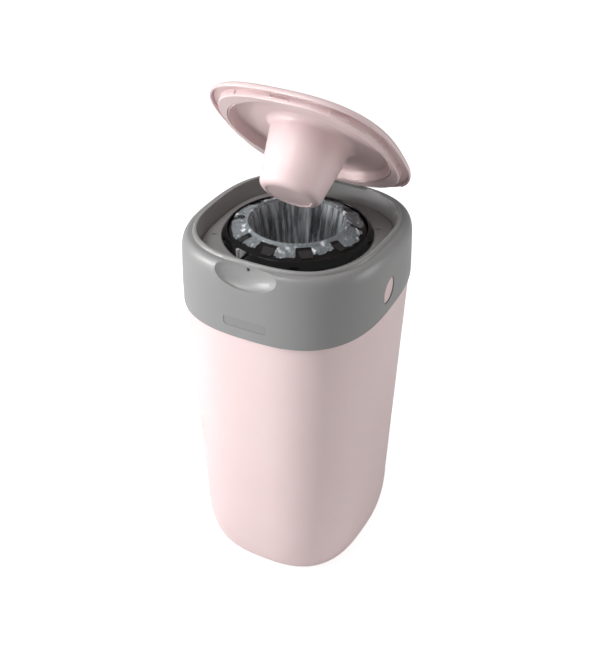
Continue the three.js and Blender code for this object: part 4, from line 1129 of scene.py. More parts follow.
        # The scoop's wall ends a little under the skin, so that no two faces lie in one another.
        skin = [*self.outline()[1:], *rim[: 2 * self.rim_steps + 1]]
        sunk = [(radius - self.inset, z - self.inset) for radius, z in skin]
        ring = top + self.wall
        room = self.turned([*sunk, (ring, self.rim_rise - self.inset), (ring, -2.5 * self.shoulder_drop)])
        return body.joined(self.scoop(self.scoop_wall).kept(room)).cut(self.scoop(0))

    def open_sides(self, body: Solid) -> None:
        """Cuts drain, recess and windows and adds the shelves that the buttons hold.

        Args:
            body: The casing.
        """
        step = PLAN.step_height
        drain_end = self.front + self.scoop_half[1] + 2 * self.scoop_wall
        drain = Solid.rod(Axis.Y, self.drain_radius, self.front, drain_end, (0, step - self.drain_drop))
        body.cut(drain, self.recess())
        half, drop, thick = self.shelf
        for side in Side:
            body.cut(self.window(*side.span(self.skirt_half - 2 * self.wall, self.skirt_half + OVERRUN)))
            low, high = side.span(*self.shelf_reach)
            shelf_low = (low, self.window_y - half, step - drop - thick)
            body.joined(Solid.box(shelf_low, (high, self.window_y + half, step - drop)))

    def hinged(self, body: Solid) -> Solid:
        """Cuts the pockets of both hinges and adds their knuckles.

        Args:
            body: The casing.

        Returns:
            The casing.
        """
        h, lid, step = HEAD_HINGE, LID_HINGE, PLAN.step_height
        pocket_low = (-self.pocket_half, PLAN.half_depth - 4 * self.ledge_width, step + self.pocket_floor)
        body.cut(Solid.box(pocket_low, (self.pocket_half, PLAN.half_depth + OVERRUN, step + OVERRUN)))
        for side in Side:
            low, high = side.span(h.split, h.outer + h.play)
            room_low = (low, h.y - h.barrel - OVERRUN / 5, h.z - OVERRUN)
            body.cut(Solid.box(room_low, (high, h.y + OVERRUN, h.z + h.barrel + 2 * h.play)))
        lid_bracket = [
            (lid.y - 1.5 * lid.barrel, step - self.wall / 2),
            (lid.y + 0.6 * lid.barrel, step - 1.5 * self.wall), (lid.y + lid.barrel, lid.z),
            (lid.y - lid.barrel, lid.z),
        ]
        wall_y = h.y - self.bracket_inset
        head_bracket = [
            (h.y + h.barrel, h.z), (wall_y - self.wall / 3, h.z + 3.5 * h.barrel),
            (wall_y - self.wall / 2, h.z + PLAN.seam_gap), (h.y - h.barrel / 3, h.z),
        ]
        body.joined(lid.knuckles(lid.inner, lid.split, lid_bracket))
        body.joined(h.knuckles(h.inner, h.split - h.play, head_bracket))
        return body.cut(h.pin_bore(), lid.pin_bore())

    def in_recess(self, x: float, y: float, z: float) -> bool:
        """Says whether a place lies on the floor of the sunk panel.

        Args:
            x: The place in metres.
            y: The same along Y.
            z: The same along Z.

        Returns:
            Whether it does.
        """
        panel = (PLAN.step_height - self.recess_drop) * MM
        level = abs(x) < self.recess_size[0] * MM / 2 and abs(z - panel) < self.recess_size[1] * MM / 2
        depth = self.skirt_half * MM - math.hypot(x, y) / PLAN.reach(x, y)
        return level and y < 0 and self.recess_depth * MM / 2 < depth < 2 * self.recess_depth * MM

    def pad(self, side: Side) -> None:
        """Makes the face of one release button, which fills its window.

        Args:
            side: The button's side.
        """
        low, high = side.span(self.skirt_half - self.pad_depth, self.skirt_half - self.pad_gap)
        body = self.window(low, high, self.pad_gap)
        bmesh.ops.dissolve_limit(body.bm, angle_limit=FLAT_ANGLE, verts=body.bm.verts, edges=body.bm.edges)
        outer = max(abs(low), abs(high)) - self.pad_gap / 10
        rim = [e for e in body.bm.edges if all(abs(v.co.x) > outer for v in e.verts)]
        name = side.name.lower()
        dress = Dress(f"{name}_button", "button_plastic", PAD_PINK)
        finished(f"{name}_window_pad", body.eased(rim, self.pad_round, 3), dress)

    def build(self) -> None:
        """Makes the casing and the two pads."""
        body = self.casing()
        self.open_sides(body)
        dress = Dress("head", "head_plastic", GREY, ("head_shell",), 28.0)
        casing = finished("head_casing", self.hinged(body), dress)
        # The floor of the sunk panel takes the slightly darker grey, which is painted shade, with a rougher
        # grain of its own.
        casing.data.materials.append(RECESS_GREY_WITH_PAINTED_SHADE.material())
        for face in casing.data.polygons:
            if self.in_recess(*face.center):
                face.material_index = 1
        for side in Side:
            self.pad(side)


@dataclass
class Tray:
    """The squared tray and round sleeve that close the head inside, with their moulded marks."""

    outer_half: float = 95.85
    outer_drop: float = 17.0
    ring_drop: float = 13.8
    thickness: float = 2.2
    bore: float = 80.5
    sleeve_inner: float = 82.6
    sleeve_wall: float = 2.2
    sleeve_drop: float = 60.0
    floor_inner: float = 57.0
    floor_thickness: float = 2.3
    under_ledge: float = 18.7
    square_outside: float = 90.15
    corner_round: float = 0.25
    post: Point = (-27.5, -82.879)
    post_play: float = 2.3
    arm_drop: float = 18.1
    arm_tail: float = 3.8
    arm_room: Triple = (23.0, 16.0, 5.2)
    mark_places: tuple[Point, ...] = ((-80.5, -44.0), (-93.0, -1.0), (72.6, 49.0), (85.5, 8.0))
    mark_size: Triple = (5.5, 1.6, 1.1)

    def tray(self) -> Solid:
        """Makes the tray with its sleeve and the room of the pawl.

        Returns:
            The body.
        """
        outer, ring, step = self.sleeve_inner + self.sleeve_wall, -self.ring_drop, PLAN.step_height
        profile = [
            (self.outer_half, -self.outer_drop), (outer, ring), (self.bore, ring),
            (self.bore, ring - self.thickness), (self.sleeve_inner, ring - self.thickness),
            (self.sleeve_inner, -self.sleeve_drop + self.floor_thickness),
            (self.floor_inner, -self.sleeve_drop + self.floor_thickness),
            (self.floor_inner, -self.sleeve_drop), (outer, -self.sleeve_drop),
            (outer, ring - 1.3 * self.thickness), (self.outer_half, -self.under_ledge),
        ]
        blend = (outer, self.square_outside)
        body = PLAN.turned(profile, step, TURN_STEPS, self.corner_round, blend)
        x, y = self.post[0], self.post[1] - PLAN.axis_y
        away = math.hypot(x, y)
        long, wide, tall = self.arm_room
        room = Solid.box((-self.arm_tail, away - wide / 2, -tall / 2), (long, away + wide / 2, tall / 2))
        room.rotated(math.degrees(math.atan2(y, x)) - 90, Axis.Z)
        room.moved(0, PLAN.axis_y, step - self.arm_drop - tall / 2)
        low = step - self.arm_drop - OVERRUN
        return body.cut(room, Solid.rod(Axis.Z, self.post_play, low, step, self.post))

    def marks(self) -> Solid:
        """Makes the low bars moulded on the tray.

        Returns:
            The bars.
        """
        body = Solid()
        fall = (self.outer_drop - self.ring_drop) / (self.outer_half - self.sleeve_inner)
        for x, y in self.mark_places:
            made = body.block(self.mark_size)
            out = max(math.hypot(x, y) / PLAN.reach(x, y) - self.sleeve_inner, 0.0)
            body.rotated(math.degrees(math.atan2(y, x)), Axis.Z, verts=made)
            body.moved(x, y, PLAN.step_height - self.ring_drop - out * fall + self.mark_size[2] / 4, made)
        return body

    def build(self) -> None:
        """Makes the tray and its marks."""
        finished("head_tray", self.tray(), Dress("head", "deck_plastic", TRAY_GREY, ("head_deck",)))
        finished("tray_marks", self.marks(), Dress("head", "deck_plastic", TRAY_GREY))


@dataclass
class Cassette:
    """The turning carrier ring, the film cassette in it and the petals on its cap."""

    foot_radius: float = 83.1
    foot_drop: float = 13.3
    foot_height: float = 1.2
    crest_radius: float = 77.6
    crest_drop: float = 4.9
    tube_radius: float = 78.4
    wall: float = 2.2
    floor_inner: float = 54.2
    floor_top: float = -55.0
    floor_thickness: float = 2.4
    notch_count: int = 5
    notch_size: Triple = (3.4, 9.0, 8.4)
    notch_first: float = 223.5
    teeth: int = 36
    tooth_tip: float = 80.0
    tooth_top: float = 18.5
    tooth_height: float = 5.0
    outer: float = 75.4
    inner: float = 52.8
    thin: float = 1.9
    rim_drop: float = 13.0
    neck_drop: float = 3.0
    cone_edge_drop: float = 7.0
    cone_top: float = 56.0
    cone_top_drop: float = 0.2
    lip_rise: float = 3.4
    lip_width: float = 2.4
    lip_shares: tuple[Point, ...] = ((1.0, 0.65), (0.6, 1.0), (0.25, 1.0), (0.0, 0.7))
    cap_thickness: float = 2.2
    petals: int = 10
    petal_radii: Point = (60.5, 71.5)
    petal_halves: Point = (8.2, 6.0)
    petal_thickness: float = 1.0
    petal_round: float = 0.35
    seat: float = 0.3
    carrier_round: float = 0.2
    trough_round: float = 0.3
    cap_round: float = 0.15

    @property
    def slope(self) -> float:
        """Fall of the cap's cone per millimetre outwards."""
        return (self.cone_edge_drop - self.cone_top_drop) / (self.outer - self.cone_top)

    def on_axis(self, profile: list[Point], corner: float) -> Solid:
        """Returns a profile given from the step, turned about the cassette's axis."""
        return Solid.turned(profile, PLAN.step_height, corner=corner).moved(0, PLAN.axis_y, 0)

    def carrier(self) -> Solid:
        """Makes the ring with its crest, notches, ratchet teeth and floor.

        Returns:
            The ring.
        """
        inner, crest = self.tube_radius - self.wall, -self.crest_drop
        under = self.floor_top - self.floor_thickness
        profile = [
            (self.foot_radius, -self.foot_drop),
            (self.foot_radius, -self.foot_drop + self.foot_height),
            (self.crest_radius + self.wall / 6, crest - self.wall / 4), (self.crest_radius, crest),
            (inner + self.wall / 3, crest), (inner, crest - self.wall / 2), (inner, self.floor_top),
            (self.floor_inner, self.floor_top), (self.floor_inner, under),
            (self.tube_radius, under), (self.tube_radius, -self.foot_drop),
        ]
        body = self.on_axis(profile, self.carrier_round).joined(self.ratchet())
        deep, wide, tall = self.notch_size
        middle = self.foot_radius - deep / 4
        for i in range(self.notch_count):
            notch_low = (middle - deep / 2, -wide / 2, -tall / 2)
            notch = Solid.box(notch_low, (middle + deep / 2, wide / 2, tall / 2))
            notch.moved(0, 0, PLAN.step_height - self.crest_drop - self.wall)
            notch.rotated(self.notch_first + 360 * i / self.notch_count, Axis.Z)
            body.cut(notch.moved(0, PLAN.axis_y, 0))
        return body

    def ratchet(self) -> Solid:
        """Makes the saw-tooth ring that the pawl clicks on.

        Returns:
            The ring.
        """
        low, tip = self.tube_radius - self.wall / 4, self.tooth_tip
        corners: list[Triple] = []
        for i in range(self.teeth):
            turn = math.tau * i / self.teeth
            corners += [(r * math.cos(turn), r * math.sin(turn), 0) for r in (low, tip)]
        body = Solid.drawn(corners, (0, 0, self.tooth_height))
        radius = self.tube_radius - self.wall / 2
        body.cut(Solid.rod(Axis.Z, radius, -OVERRUN, 2 * OVERRUN, (0, 0), FINE_STEPS))
        return body.moved(0, PLAN.axis_y, PLAN.step_height - self.tooth_top - self.tooth_height)

    def trough(self) -> Solid:
        """Makes the trough that holds the folded film.

        Returns:
            The trough.
        """
        low, outer, inner = self.floor_top + self.seat, self.outer - self.thin, self.inner + self.thin
        profile = [
            (self.outer, low), (self.outer, -self.rim_drop), (outer, -self.rim_drop),
            (outer, low + self.thin), (inner, low + self.thin), (inner, -self.neck_drop),
            (self.inner, -self.neck_drop), (self.inner, low),
        ]
        return self.on_axis(profile, self.trough_round)

    def cap(self) -> Solid:
        """Makes the coned cap with its rolled lip.

        Returns:
            The cap.
        """
        outer, edge = self.outer + self.seat, -self.cone_edge_drop
        lip = [(self.inner + out * self.lip_width, up * self.lip_rise) for out, up in self.lip_shares]
        profile = [
            (outer, -self.rim_drop + self.seat), (outer, edge - self.thin / 2),
            (self.outer - self.thin / 2, edge),
            *flowing([(self.cone_top, -self.cone_top_drop), *lip]),
            (self.inner, -self.neck_drop + self.seat),
            (self.inner + self.thin, -self.neck_drop + self.seat),
            (self.outer - self.thin, edge - self.cap_thickness),
            (self.outer - self.thin, -self.rim_drop + self.seat),
        ]
        return self.on_axis(profile, self.cap_round)

    def petal_ring(self) -> Solid:
        """Makes the trapezoid plates that lie on the cone.

        Returns:
            The plates.
        """
        body = Solid()
        near, far = self.petal_radii
        tall = self.petal_thickness + self.cap_thickness / 2
        lift = self.petal_thickness - self.cap_thickness / 2
        for i in range(self.petals):
            made = body.block((far - near, 1.0, tall))
            for v in made:
                v.co.y *= 2 * self.petal_halves[v.co.x > 0]
            body.moved((near + far) / 2 - self.cone_top, 0, lift / 2, made)
            body.rotated(math.degrees(math.atan(self.slope)), Axis.Y, verts=made)
            body.moved(self.cone_top, 0, PLAN.step_height - self.cone_top_drop, made)
            body.rotated(360 * (i + 0.5) / self.petals, Axis.Z, verts=made)
        return body.eased(body.bm.edges[:], self.petal_round).moved(0, PLAN.axis_y, 0)

    def build(self) -> None:
        """Makes carrier, trough, cap and petals."""
        for name, solid, slot, finish, nodes in (
            ("carrier_ring", self.carrier(), "carrier_plastic", BLACK, ("cassette_carrier",)),
            ("film_trough", self.trough(), "cassette_plastic", CAP_BLACK, ("cassette_body",)),
            ("cassette_lip", self.cap(), "cap_plastic", CAP_BLACK, ("cassette_cap",)),
            ("cap_petals", self.petal_ring(), "cap_plastic", PETAL_BLACK, ()),
        ):
            finished(name, solid, Dress("carrier", slot, finish, nodes))


@dataclass
class FilmSleeve:
    """The drawn film: flaps over the petals, a gathered collar on the lip and pleats down the throat.

    Each wave is given as how fast it runs round the turn, how fast it runs along the film, and its place in
    the noise.
    """

    cassette: Cassette
    steps: int = 360
    flap_start: float = 58.0
    flap_end: float = 73.5
    flap_knots: tuple[float, ...] = (68.0, 65.0, 62.0, 59.5)
    flap_half_turn: float = 0.38
    flap_sway: Point = (0.8, 0.12)
    flap_wave: Triple = (3.7, 1.3, 0.4)
    flap_lengths: Triple = (0.85, 0.4, 0.25)
    flap_shortest: float = 0.35
    length_wave: Triple = (5.1, 7.7, 0.2)
    ragged_wave: Triple = (8.0, 2.2, 0.7)
    between_edge: float = 0.8
    between_wave: Triple = (9.0, 0.0, 5.0)
    rise: float = 1.5
    lip_clear: float = 0.6
    throat: tuple[Point, ...] = ((51.6, 0.0), (50.4, -10.0), (47.6, -28.0), (43.6, -56.0), (40.6, -74.0))
    pleats: int = 34
    pleat_depth: float = 1.7
    pleat_top: float = 1.5
    pleat_run: float = 14.0
    pleat_sway: float = 1.6
    pleat_slip: float = 3.0
    sway_scale: Point = (2.0, 0.02)
    fine_wave: Triple = (26.0, 0.05, 3.0)
    fine_share: float = 0.35
    crumple_wave: Triple = (13.0, 0.16, 1.0)
    crumple_height: float = 2.2
    crumple_sink: float = 0.15
    fold_wave: Triple = (19.0, 0.25, 8.0)
    fold_height: float = 2.4
    fold_start: float = 0.5
    collar: float = 55.0
    collar_width: float = 6.0
    gather: float = 0.22
    crease: float = 40.0
    cut_width: float = 0.42

    def line(self) -> list[Point]:
        """Draws the film from the outer edge of a flap to the bottom of the throat.

        Returns:
            The points, with heights from the step.
        """
        c = self.cassette
        radii = (self.flap_end, *self.flap_knots, self.flap_start)
        cone = [(r, -c.cone_top_drop - (r - c.cone_top) * c.slope + self.rise) for r in radii]
        lip = [
            (c.inner + c.lip_width + self.lip_clear, 0.72 * c.lip_rise + self.lip_clear),
            (c.inner + 0.5 * c.lip_width, c.lip_rise + self.lip_clear),
            (c.inner - self.lip_clear, 0.5 * c.lip_rise),
        ]
        return flowing([*cone, *lip, *self.throat], 5)

    def flap_reach(self, turn: float) -> float:
        """Says how far out the film reaches.

        Args:
            turn: Place round the ring, as an angle.

        Returns:
            The radius of its edge.
        """
        place = turn * self.cassette.petals / math.tau
        index = round(place)
        wobble = self.wave(index, 1.0, self.flap_wave)
        half = self.flap_half_turn * (1 + self.flap_sway[0] * wobble)
        if abs(place - index - self.flap_sway[1] * wobble) > half:
            return self.flap_start + self.between_edge * self.wave(turn, 1.0, self.between_wave)
        longer = self.flap_lengths[1] * self.wave(index, 1.0, self.length_wave)
        ragged = self.flap_lengths[2] * self.wave(turn, 1.0, self.ragged_wave)
        out = min(max(self.flap_lengths[0] + longer + ragged, self.flap_shortest), 1.0)
        return self.flap_start + (self.flap_end - self.flap_start) * out

    @staticmethod
    def wave(turn: float, along: float, kind: Triple) -> float:
        """Returns one of the film's waves at a place."""
        return ripple(turn * kind[0], along * kind[1], kind[2])

    def creased(self, co: Vector) -> Vector:
        """Pleats the throat and crumples the flaps at one point.

        Args:
            co: The point on the smooth sleeve, from the cassette's axis and the step.

        Returns:
            The moved point.
        """
        radius, turn = math.hypot(co.x, co.y), math.atan2(co.y, co.x)
        if co.z < self.pleat_top and radius < self.cassette.inner:
            depth = held((self.pleat_top - co.z) / self.pleat_run)
            wide, down = self.sway_scale
            slip = self.pleat_sway * ripple(math.cos(turn) * wide, math.sin(turn) * wide, co.z * down)
            pleat = 0.5 + 0.5 * math.cos(self.pleats * turn + self.pleat_slip * slip)
            fine = self.wave(turn, co.z, self.fine_wave)
            inward = self.pleat_depth * depth * (pleat**2 + self.fine_share * fine + self.fine_share)
            share = (radius - inward) / radius
            return Vector((co.x * share, co.y * share, co.z))
        outward = held((radius - self.collar) / self.collar_width)
        crumple = max(self.wave(turn, radius, self.crumple_wave), -self.crumple_sink)
        fold = max(1 - 2 * abs(self.wave(turn, radius, self.fold_wave)) - self.fold_start, 0)
        gather = self.gather * math.cos(self.pleats * 2 * turn) * (1 - outward)
        up = outward * (self.crumple_height * crumple + self.fold_height * fold) + gather
        return Vector((co.x, co.y, co.z + up))

    def part_finishes(self, piece: bpy.types.Object) -> None:
        """Gives the throat of the sleeve its own pleated finish.

        Args:
            piece: The finished sleeve.
        """
        piece.data.materials.append(THROAT_FILM.material())
        lip = (PLAN.step_height + self.cassette.lip_rise / 3) * MM
        for face in piece.data.polygons:
            inside = math.hypot(face.center.x, face.center.y - PLAN.axis_y * MM) < self.cassette.inner * MM
            face.material_index = int(inside and face.center.z < lip)

    def build(self) -> None:
        sleeve = Solid.turned(self.line(), steps=self.steps, closed=False)
        bm = sleeve.bm
        low = [v for v in bm.verts if v.co.z < self.cassette.lip_rise]
        spare = [v for v in low if v.co.xy.length > self.flap_reach(math.atan2(v.co.y, v.co.x))]
        bmesh.ops.delete(bm, geom=spare, context="VERTS")
        for v in bm.verts:
            v.co = self.creased(v.co)
        area = sum(f.calc_area() for f in sleeve.faced().bm.faces) * MM * MM
        dress = Dress("carrier", "film", FLAP_FILM, ("film_liner",), self.crease)
        piece = finished("film_sleeve", sleeve.moved(0, PLAN.axis_y, PLAN.step_height), dress)
        self.part_finishes(piece)


@dataclass
class Lid:
    """The pink lid: cover, under frame, plunger dial and knob, drawn closed and swung open."""

    plane_rise: float = 0.4
    edge_half: float = 106.2
    edge_thickness: float = 1.5
    bulge_half: float = 106.6
    wall: float = 2.2
    crown_rise: float = 11.3
    bore: float = 62.5
    rear_relief_y: float = 84.0
    rear_relief: float = 1.6
    notch_half: float = 34.0
    plug_half: float = 96.0
    plug_depth: float = 5.4
    plug_draft: float = 0.3
    flange_rise: float = 3.0
    flange_edge: float = 0.6
    flange_half: float = 103.2
    flange_foot: float = 1.0
    top_rise: float = 5.2
    frame_bore: float = 92.4
    frame_round: float = 0.3
    seat_rise: float = 3.2
    seat_width: float = 1.6
    edge_bevel: float = 0.8
    tabs: int = 10
    tab_size: Triple = (4.0, 21.0, 4.0)
    tab_drop: float = 1.2
    tab_inset: float = 1.0
    tab_round: float = 0.3
    tab_lean_step: float = 0.02
    catch: Triple = (11.0, 2.6, 1.4)
    arm_lift: float = 1.2
    arm_clear: float = 0.6
    rim_radius: float = 91.7
    rim_width: float = 1.8
    rim_depth: float = 5.2
    dial_flange: float = 93.4
    dial_play: float = 0.3
    flange_thickness: float = 1.5
    dish_rise: float = 5.2
    dish_fillet: float = 4.2
    step_draft: float = 1.2
    root_fillet: float = 8.5
    root_radius: float = 45.0
    tip_radius: float = 35.3
    tip_fillet: float = 9.5
    length: float = 67.0
    tip_recess: float = 0.7
    knob_radius: float = 61.7
    knob_thickness: float = 2.4
    knob_top: float = 10.2
    knob_round: float = 0.5
    hollow_radius: float = 38.0
    hollow_draft: float = 3.0
    hollow_depth: float = 28.0
    bar_half: float = 8.0
    bar_crest: float = 5.76
    bar_round: float = 1.2
    hub_radius: float = 22.0
    cover_shares: tuple[tuple[float, float, float, float], ...] = (
        (1, 0.14, 1, 0),
        (0.996, 0.336, 1, 0.18), (0.981, 0.53, 0.86, 0.64), (0.945, 0.69, 0.5, 0.91),
        (0.86, 0.83, 0.23, 0.95), (0.709, 0.955, 0.1, 0.97),
    )

    @property
    def plane(self) -> float:
        """Height of the closed lid's edge."""
        return PLAN.step_height + self.plane_rise

    def opened(self, solid: Solid) -> Solid:
        """Swings a closed piece up to the photographed angle."""
        return solid.rotated(-LID_OPEN, Axis.X, (0, LID_HINGE.y, LID_HINGE.z))

    def on_axis(self, profile: list[Point], corner: float = 0.0) -> Solid:
        """Returns a profile given from the lid's edge, turned about the dial's axis."""
        return Solid.turned(profile, self.plane, corner=corner).moved(0, PLAN.axis_y, 0)

    def skin(self, edge: float, wall: float) -> list[Point]:
        """Draws one face of the cover, from its edge to its middle.

        Args:
            edge: Its half width at the edge.
            wall: How far it lies inside the outer face.

        Returns:
            The points.
        """
        half, rise = self.bulge_half, self.crown_rise
        shares = self.cover_shares
        bulge = [(half * out - wall * thin, rise * up - wall * low) for out, up, thin, low in shares]
        return flowing([(edge, 0.0), *bulge, (0, rise - wall)])

    def cover(self) -> Solid:
        """Makes the thin outer cover with its round bore.

        Returns:
            The cover.
        """
        plane, wide, top = self.plane, 2 * self.bulge_half, self.plane + 3 * self.crown_rise
        inner = self.skin(self.edge_half - self.edge_thickness, self.wall)
        profile = [*reversed(self.skin(self.edge_half, 0.0)), *inner]
        body = PLAN.turned(profile, plane, blend=(self.bore, self.frame_bore))
        body.cut(Solid.rod(Axis.Z, self.bore, plane, top, (0, PLAN.axis_y), TURN_STEPS))
        under = plane - OVERRUN
        relief = Solid.box((-wide, self.rear_relief_y, under), (wide, wide, plane + self.rear_relief))
        notch_low = (-self.notch_half, self.flange_half * PLAN.depth_share - self.edge_bevel, under)
        return body.cut(relief, Solid.box(notch_low, (self.notch_half, wide, top)))

    def frame_blank(self) -> Solid:
        """Makes the plug and flange before its fittings.

        Returns:
            The blank.
        """
        top, low, bevel = self.top_rise, -self.plug_depth, self.edge_bevel
        profile = [
            (0.0, low), (self.plug_half - bevel, low), (self.plug_half, low + bevel),
            (self.plug_half + self.plug_draft, self.flange_rise),
            (self.flange_half, self.flange_rise),
            (self.flange_half, self.flange_rise + self.flange_edge),
            (self.plug_half + self.flange_foot, top), (0.0, top),
        ]
        bore = [
            (0.0, low - OVERRUN), (self.frame_bore, low - OVERRUN),
            (self.frame_bore, self.seat_rise), (self.frame_bore + self.seat_width, self.seat_rise),
            (self.frame_bore + 2 * self.seat_width, top + OVERRUN), (0.0, top + OVERRUN),
        ]
        return PLAN.turned(profile, self.plane, corner=self.frame_round).cut(self.on_axis(bore))

    def tab(self, turn: float) -> Solid:
        """Makes one low snap tab on the side of the plug.

        Args:
            turn: Its place round the plug, as an angle.

        Returns:
            The tab.
        """
        reach = self.plug_half * PLAN.reach(math.cos(turn), math.sin(turn)) - self.tab_inset
        ends = []
        for a in (turn - self.tab_lean_step, turn + self.tab_lean_step):
            share = PLAN.reach(math.cos(a), math.sin(a))
            ends.append(Vector((share * math.cos(a), share * math.sin(a))))
        run = ends[1] - ends[0]
        tab = Solid()
        tab.block(self.tab_size)
        tab.rotated(math.degrees(math.atan2(run.y, run.x) - math.pi / 2), Axis.Z)
        tab.eased(tab.bm.edges[:], self.tab_round)
        return tab.moved(reach * math.cos(turn), reach * math.sin(turn), self.plane - self.tab_drop)

    def under_frame(self) -> Solid:
        """Makes the frame with tabs, catch and hinge arms.

        Returns:
            The frame.
        """
        body = self.frame_blank()
        for i in range(self.tabs):
            body.joined(self.tab(math.tau * (i + 0.5) / self.tabs))
        front = self.plug_half * PLAN.depth_share
        half, tall, deep = self.catch
        high = self.plane + tall / 2
        body.cut(Solid.box((-half, -front - OVERRUN, high - tall), (half, -front + deep, high)))
        h = LID_HINGE
        rear, low, flange = front - self.plug_draft, self.plane + self.arm_lift, self.plane + self.flange_rise
        arm = [
            (rear, low), (h.y - h.barrel, low), (h.y + h.barrel, h.z), (h.y - h.barrel, h.z),
            (self.flange_half * PLAN.depth_share + self.arm_clear, flange), (rear, flange),
        ]
        return body.joined(h.knuckles(h.split + h.play, h.outer, arm)).cut(h.pin_bore())

    def dial(self) -> Solid:
        """Makes the dial's underside: rim, sunk dish and plunger cup in one wall.

        Returns:
            The underside.
        """
        step, thin, low = self.rim_radius - self.rim_width, self.wall, -self.length
        dish = step - self.step_draft - self.dish_fillet
        tip = self.tip_radius - self.tip_fillet
        tip_middle = (tip, low + self.tip_fillet)
        root_middle = (self.root_radius + self.root_fillet, self.dish_rise - self.root_fillet)
        root, end, fillet = self.root_fillet, self.tip_fillet, self.dish_fillet
        faces = [
            (self.rim_radius, -self.rim_depth + thin / 3),
            (self.rim_radius - thin / 3, -self.rim_depth), (step + thin / 3, -self.rim_depth),
            (step, -self.rim_depth + thin / 3),
            *arc((dish, self.dish_rise - fillet), fillet, fillet, 0, 90, 10),
            *arc(root_middle, root, root, 90, 170, 14), *arc(tip_middle, end, end, -10, -90, 14),
            (tip - thin / 2, low + self.tip_recess), (0.0, low + self.tip_recess),
        ]
        seat = self.seat_rise + self.dial_play
        backs = [
            (0.0, low + self.tip_recess + thin),
            *arc(tip_middle, end - thin, end - thin, -90, -10, 8),
            *arc(root_middle, root + thin, root + thin, 170, 90, 8),
            (dish - thin, self.dish_rise + thin), (self.dial_flange, seat + self.flange_thickness),
            (self.dial_flange, seat), (self.rim_radius, seat),
        ]
        return self.on_axis([*reversed(faces), *reversed(backs)])

    def knob(self) -> Solid:
        """Makes the top disc with its finger hollow, grip bar and hub.

        Returns:
            The knob.
        """
        top, thick = self.knob_top, self.knob_thickness
        under, floor = top - thick, top - self.hollow_depth
        hollow, bottom = self.hollow_radius, self.hollow_radius - self.hollow_draft
        profile = [
            (0.0, floor - thick), (bottom + thick / 2, floor - thick), (hollow + thick, under),
            (self.knob_radius, under), (self.knob_radius, top - thick / 2),
            (self.knob_radius - thick / 2, top), (hollow + thick / 2, top),
            (hollow, top - thick / 2), (bottom, floor), (0.0, floor),
        ]
        hub_low = self.tip_recess + self.wall + self.dial_play - self.length
        hub_inner, hub_outer, hub_top = self.hub_radius - self.wall, self.hub_radius, floor - thick / 2
        hub = [(hub_inner, hub_low), (hub_outer, hub_low), (hub_outer, hub_top), (hub_inner, hub_top)]
        filled = [(0.0, hub_top), (bottom, hub_top), (hollow + thick / 2, top), (0.0, top)]
        low, high, foot, crest = floor - thick, top, self.bar_half, self.bar_crest
        section = [(-foot, low), (foot, low), (crest, high), (-crest, high)]
        section = [(PLAN.axis_y + y, self.plane + z) for y, z in section]
        bar = Solid.slab(section, -hollow - thick, hollow + thick)
        bar.eased(bar.bm.edges[:], self.bar_round, 4).kept(self.on_axis(filled))
        return self.on_axis(profile, self.knob_round).joined(self.on_axis(hub), bar)

    def build(self) -> None:
        """Makes the four pieces of the lid."""
        for name, solid, body, slot, node in (
            ("lid_cover_skin", self.cover(), "lid", "lid_plastic", "lid_cover"),
            ("lid_under_frame", self.under_frame(), "lid", "lid_plastic", "lid_frame"),
            ("plunger", self.dial(), "dial", "plunger_plastic", "plunger_dial"),
            ("dial_top", self.knob(), "dial", "plunger_plastic", "dial_knob"),
        ):
            finished(name, self.opened(solid), Dress(body, slot, LID_PINK, (node,)))


@dataclass
class SmallParts:
    """The frame's own small parts, which keep their CAD shape and get a finish."""

    finishes: tuple[tuple[Finish, tuple[str, ...]], ...] = (
        (GUIDE_GREY, ("left_button_guide", "right_button_guide")),
        (SPRING_STEEL, ("left_button_spring", "right_button_spring", "cutter_blade")),
        (PAD_PINK, ("left_release_button", "right_release_button")),
        (PIN_STEEL, ("head_hinge_pin", "lid_hinge_pin", "cutter_screw")),
        (PIN_STEEL, tuple(f"deck_screw_{i}" for i in range(1, 5))),
        (CUTTER_BLACK, ("cutter_guard",)), (PAWL_GREY, ("click_pawl",)),
        (GRIP, ("film_grip_ring",)), (PACK_FILM, ("film_pack",)),
    )

    def build(self) -> None:
        """Gives each part its finish."""
        for finish, names in self.finishes:
            for name in names:
                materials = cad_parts[name].data.materials
                materials.clear()
                materials.append(finish.material())
                log.info("%s: finish %s", name, finish.name)


@dataclass(frozen=True)
class Lamp:
    """A soft square lamp: places and side in metres, power in watts, opening of its beam in degrees."""

    name: str
    place: Triple
    target: Triple
    size: float
    power: float
    spread: float = 180.0

    def build(self) -> None:
        """Makes the lamp."""
        data = bpy.data.lights.new(self.name, "AREA")
        data.size = self.size
        data.energy = self.power
        data.spread = math.radians(self.spread)
        made = placed(self.name, data)
        aim = (Vector(self.target) - Vector(self.place)).to_track_quat("-Z", "Y")
        made.matrix_world = Matrix.Translation(Vector(self.place)) @ aim.to_matrix().to_4x4()


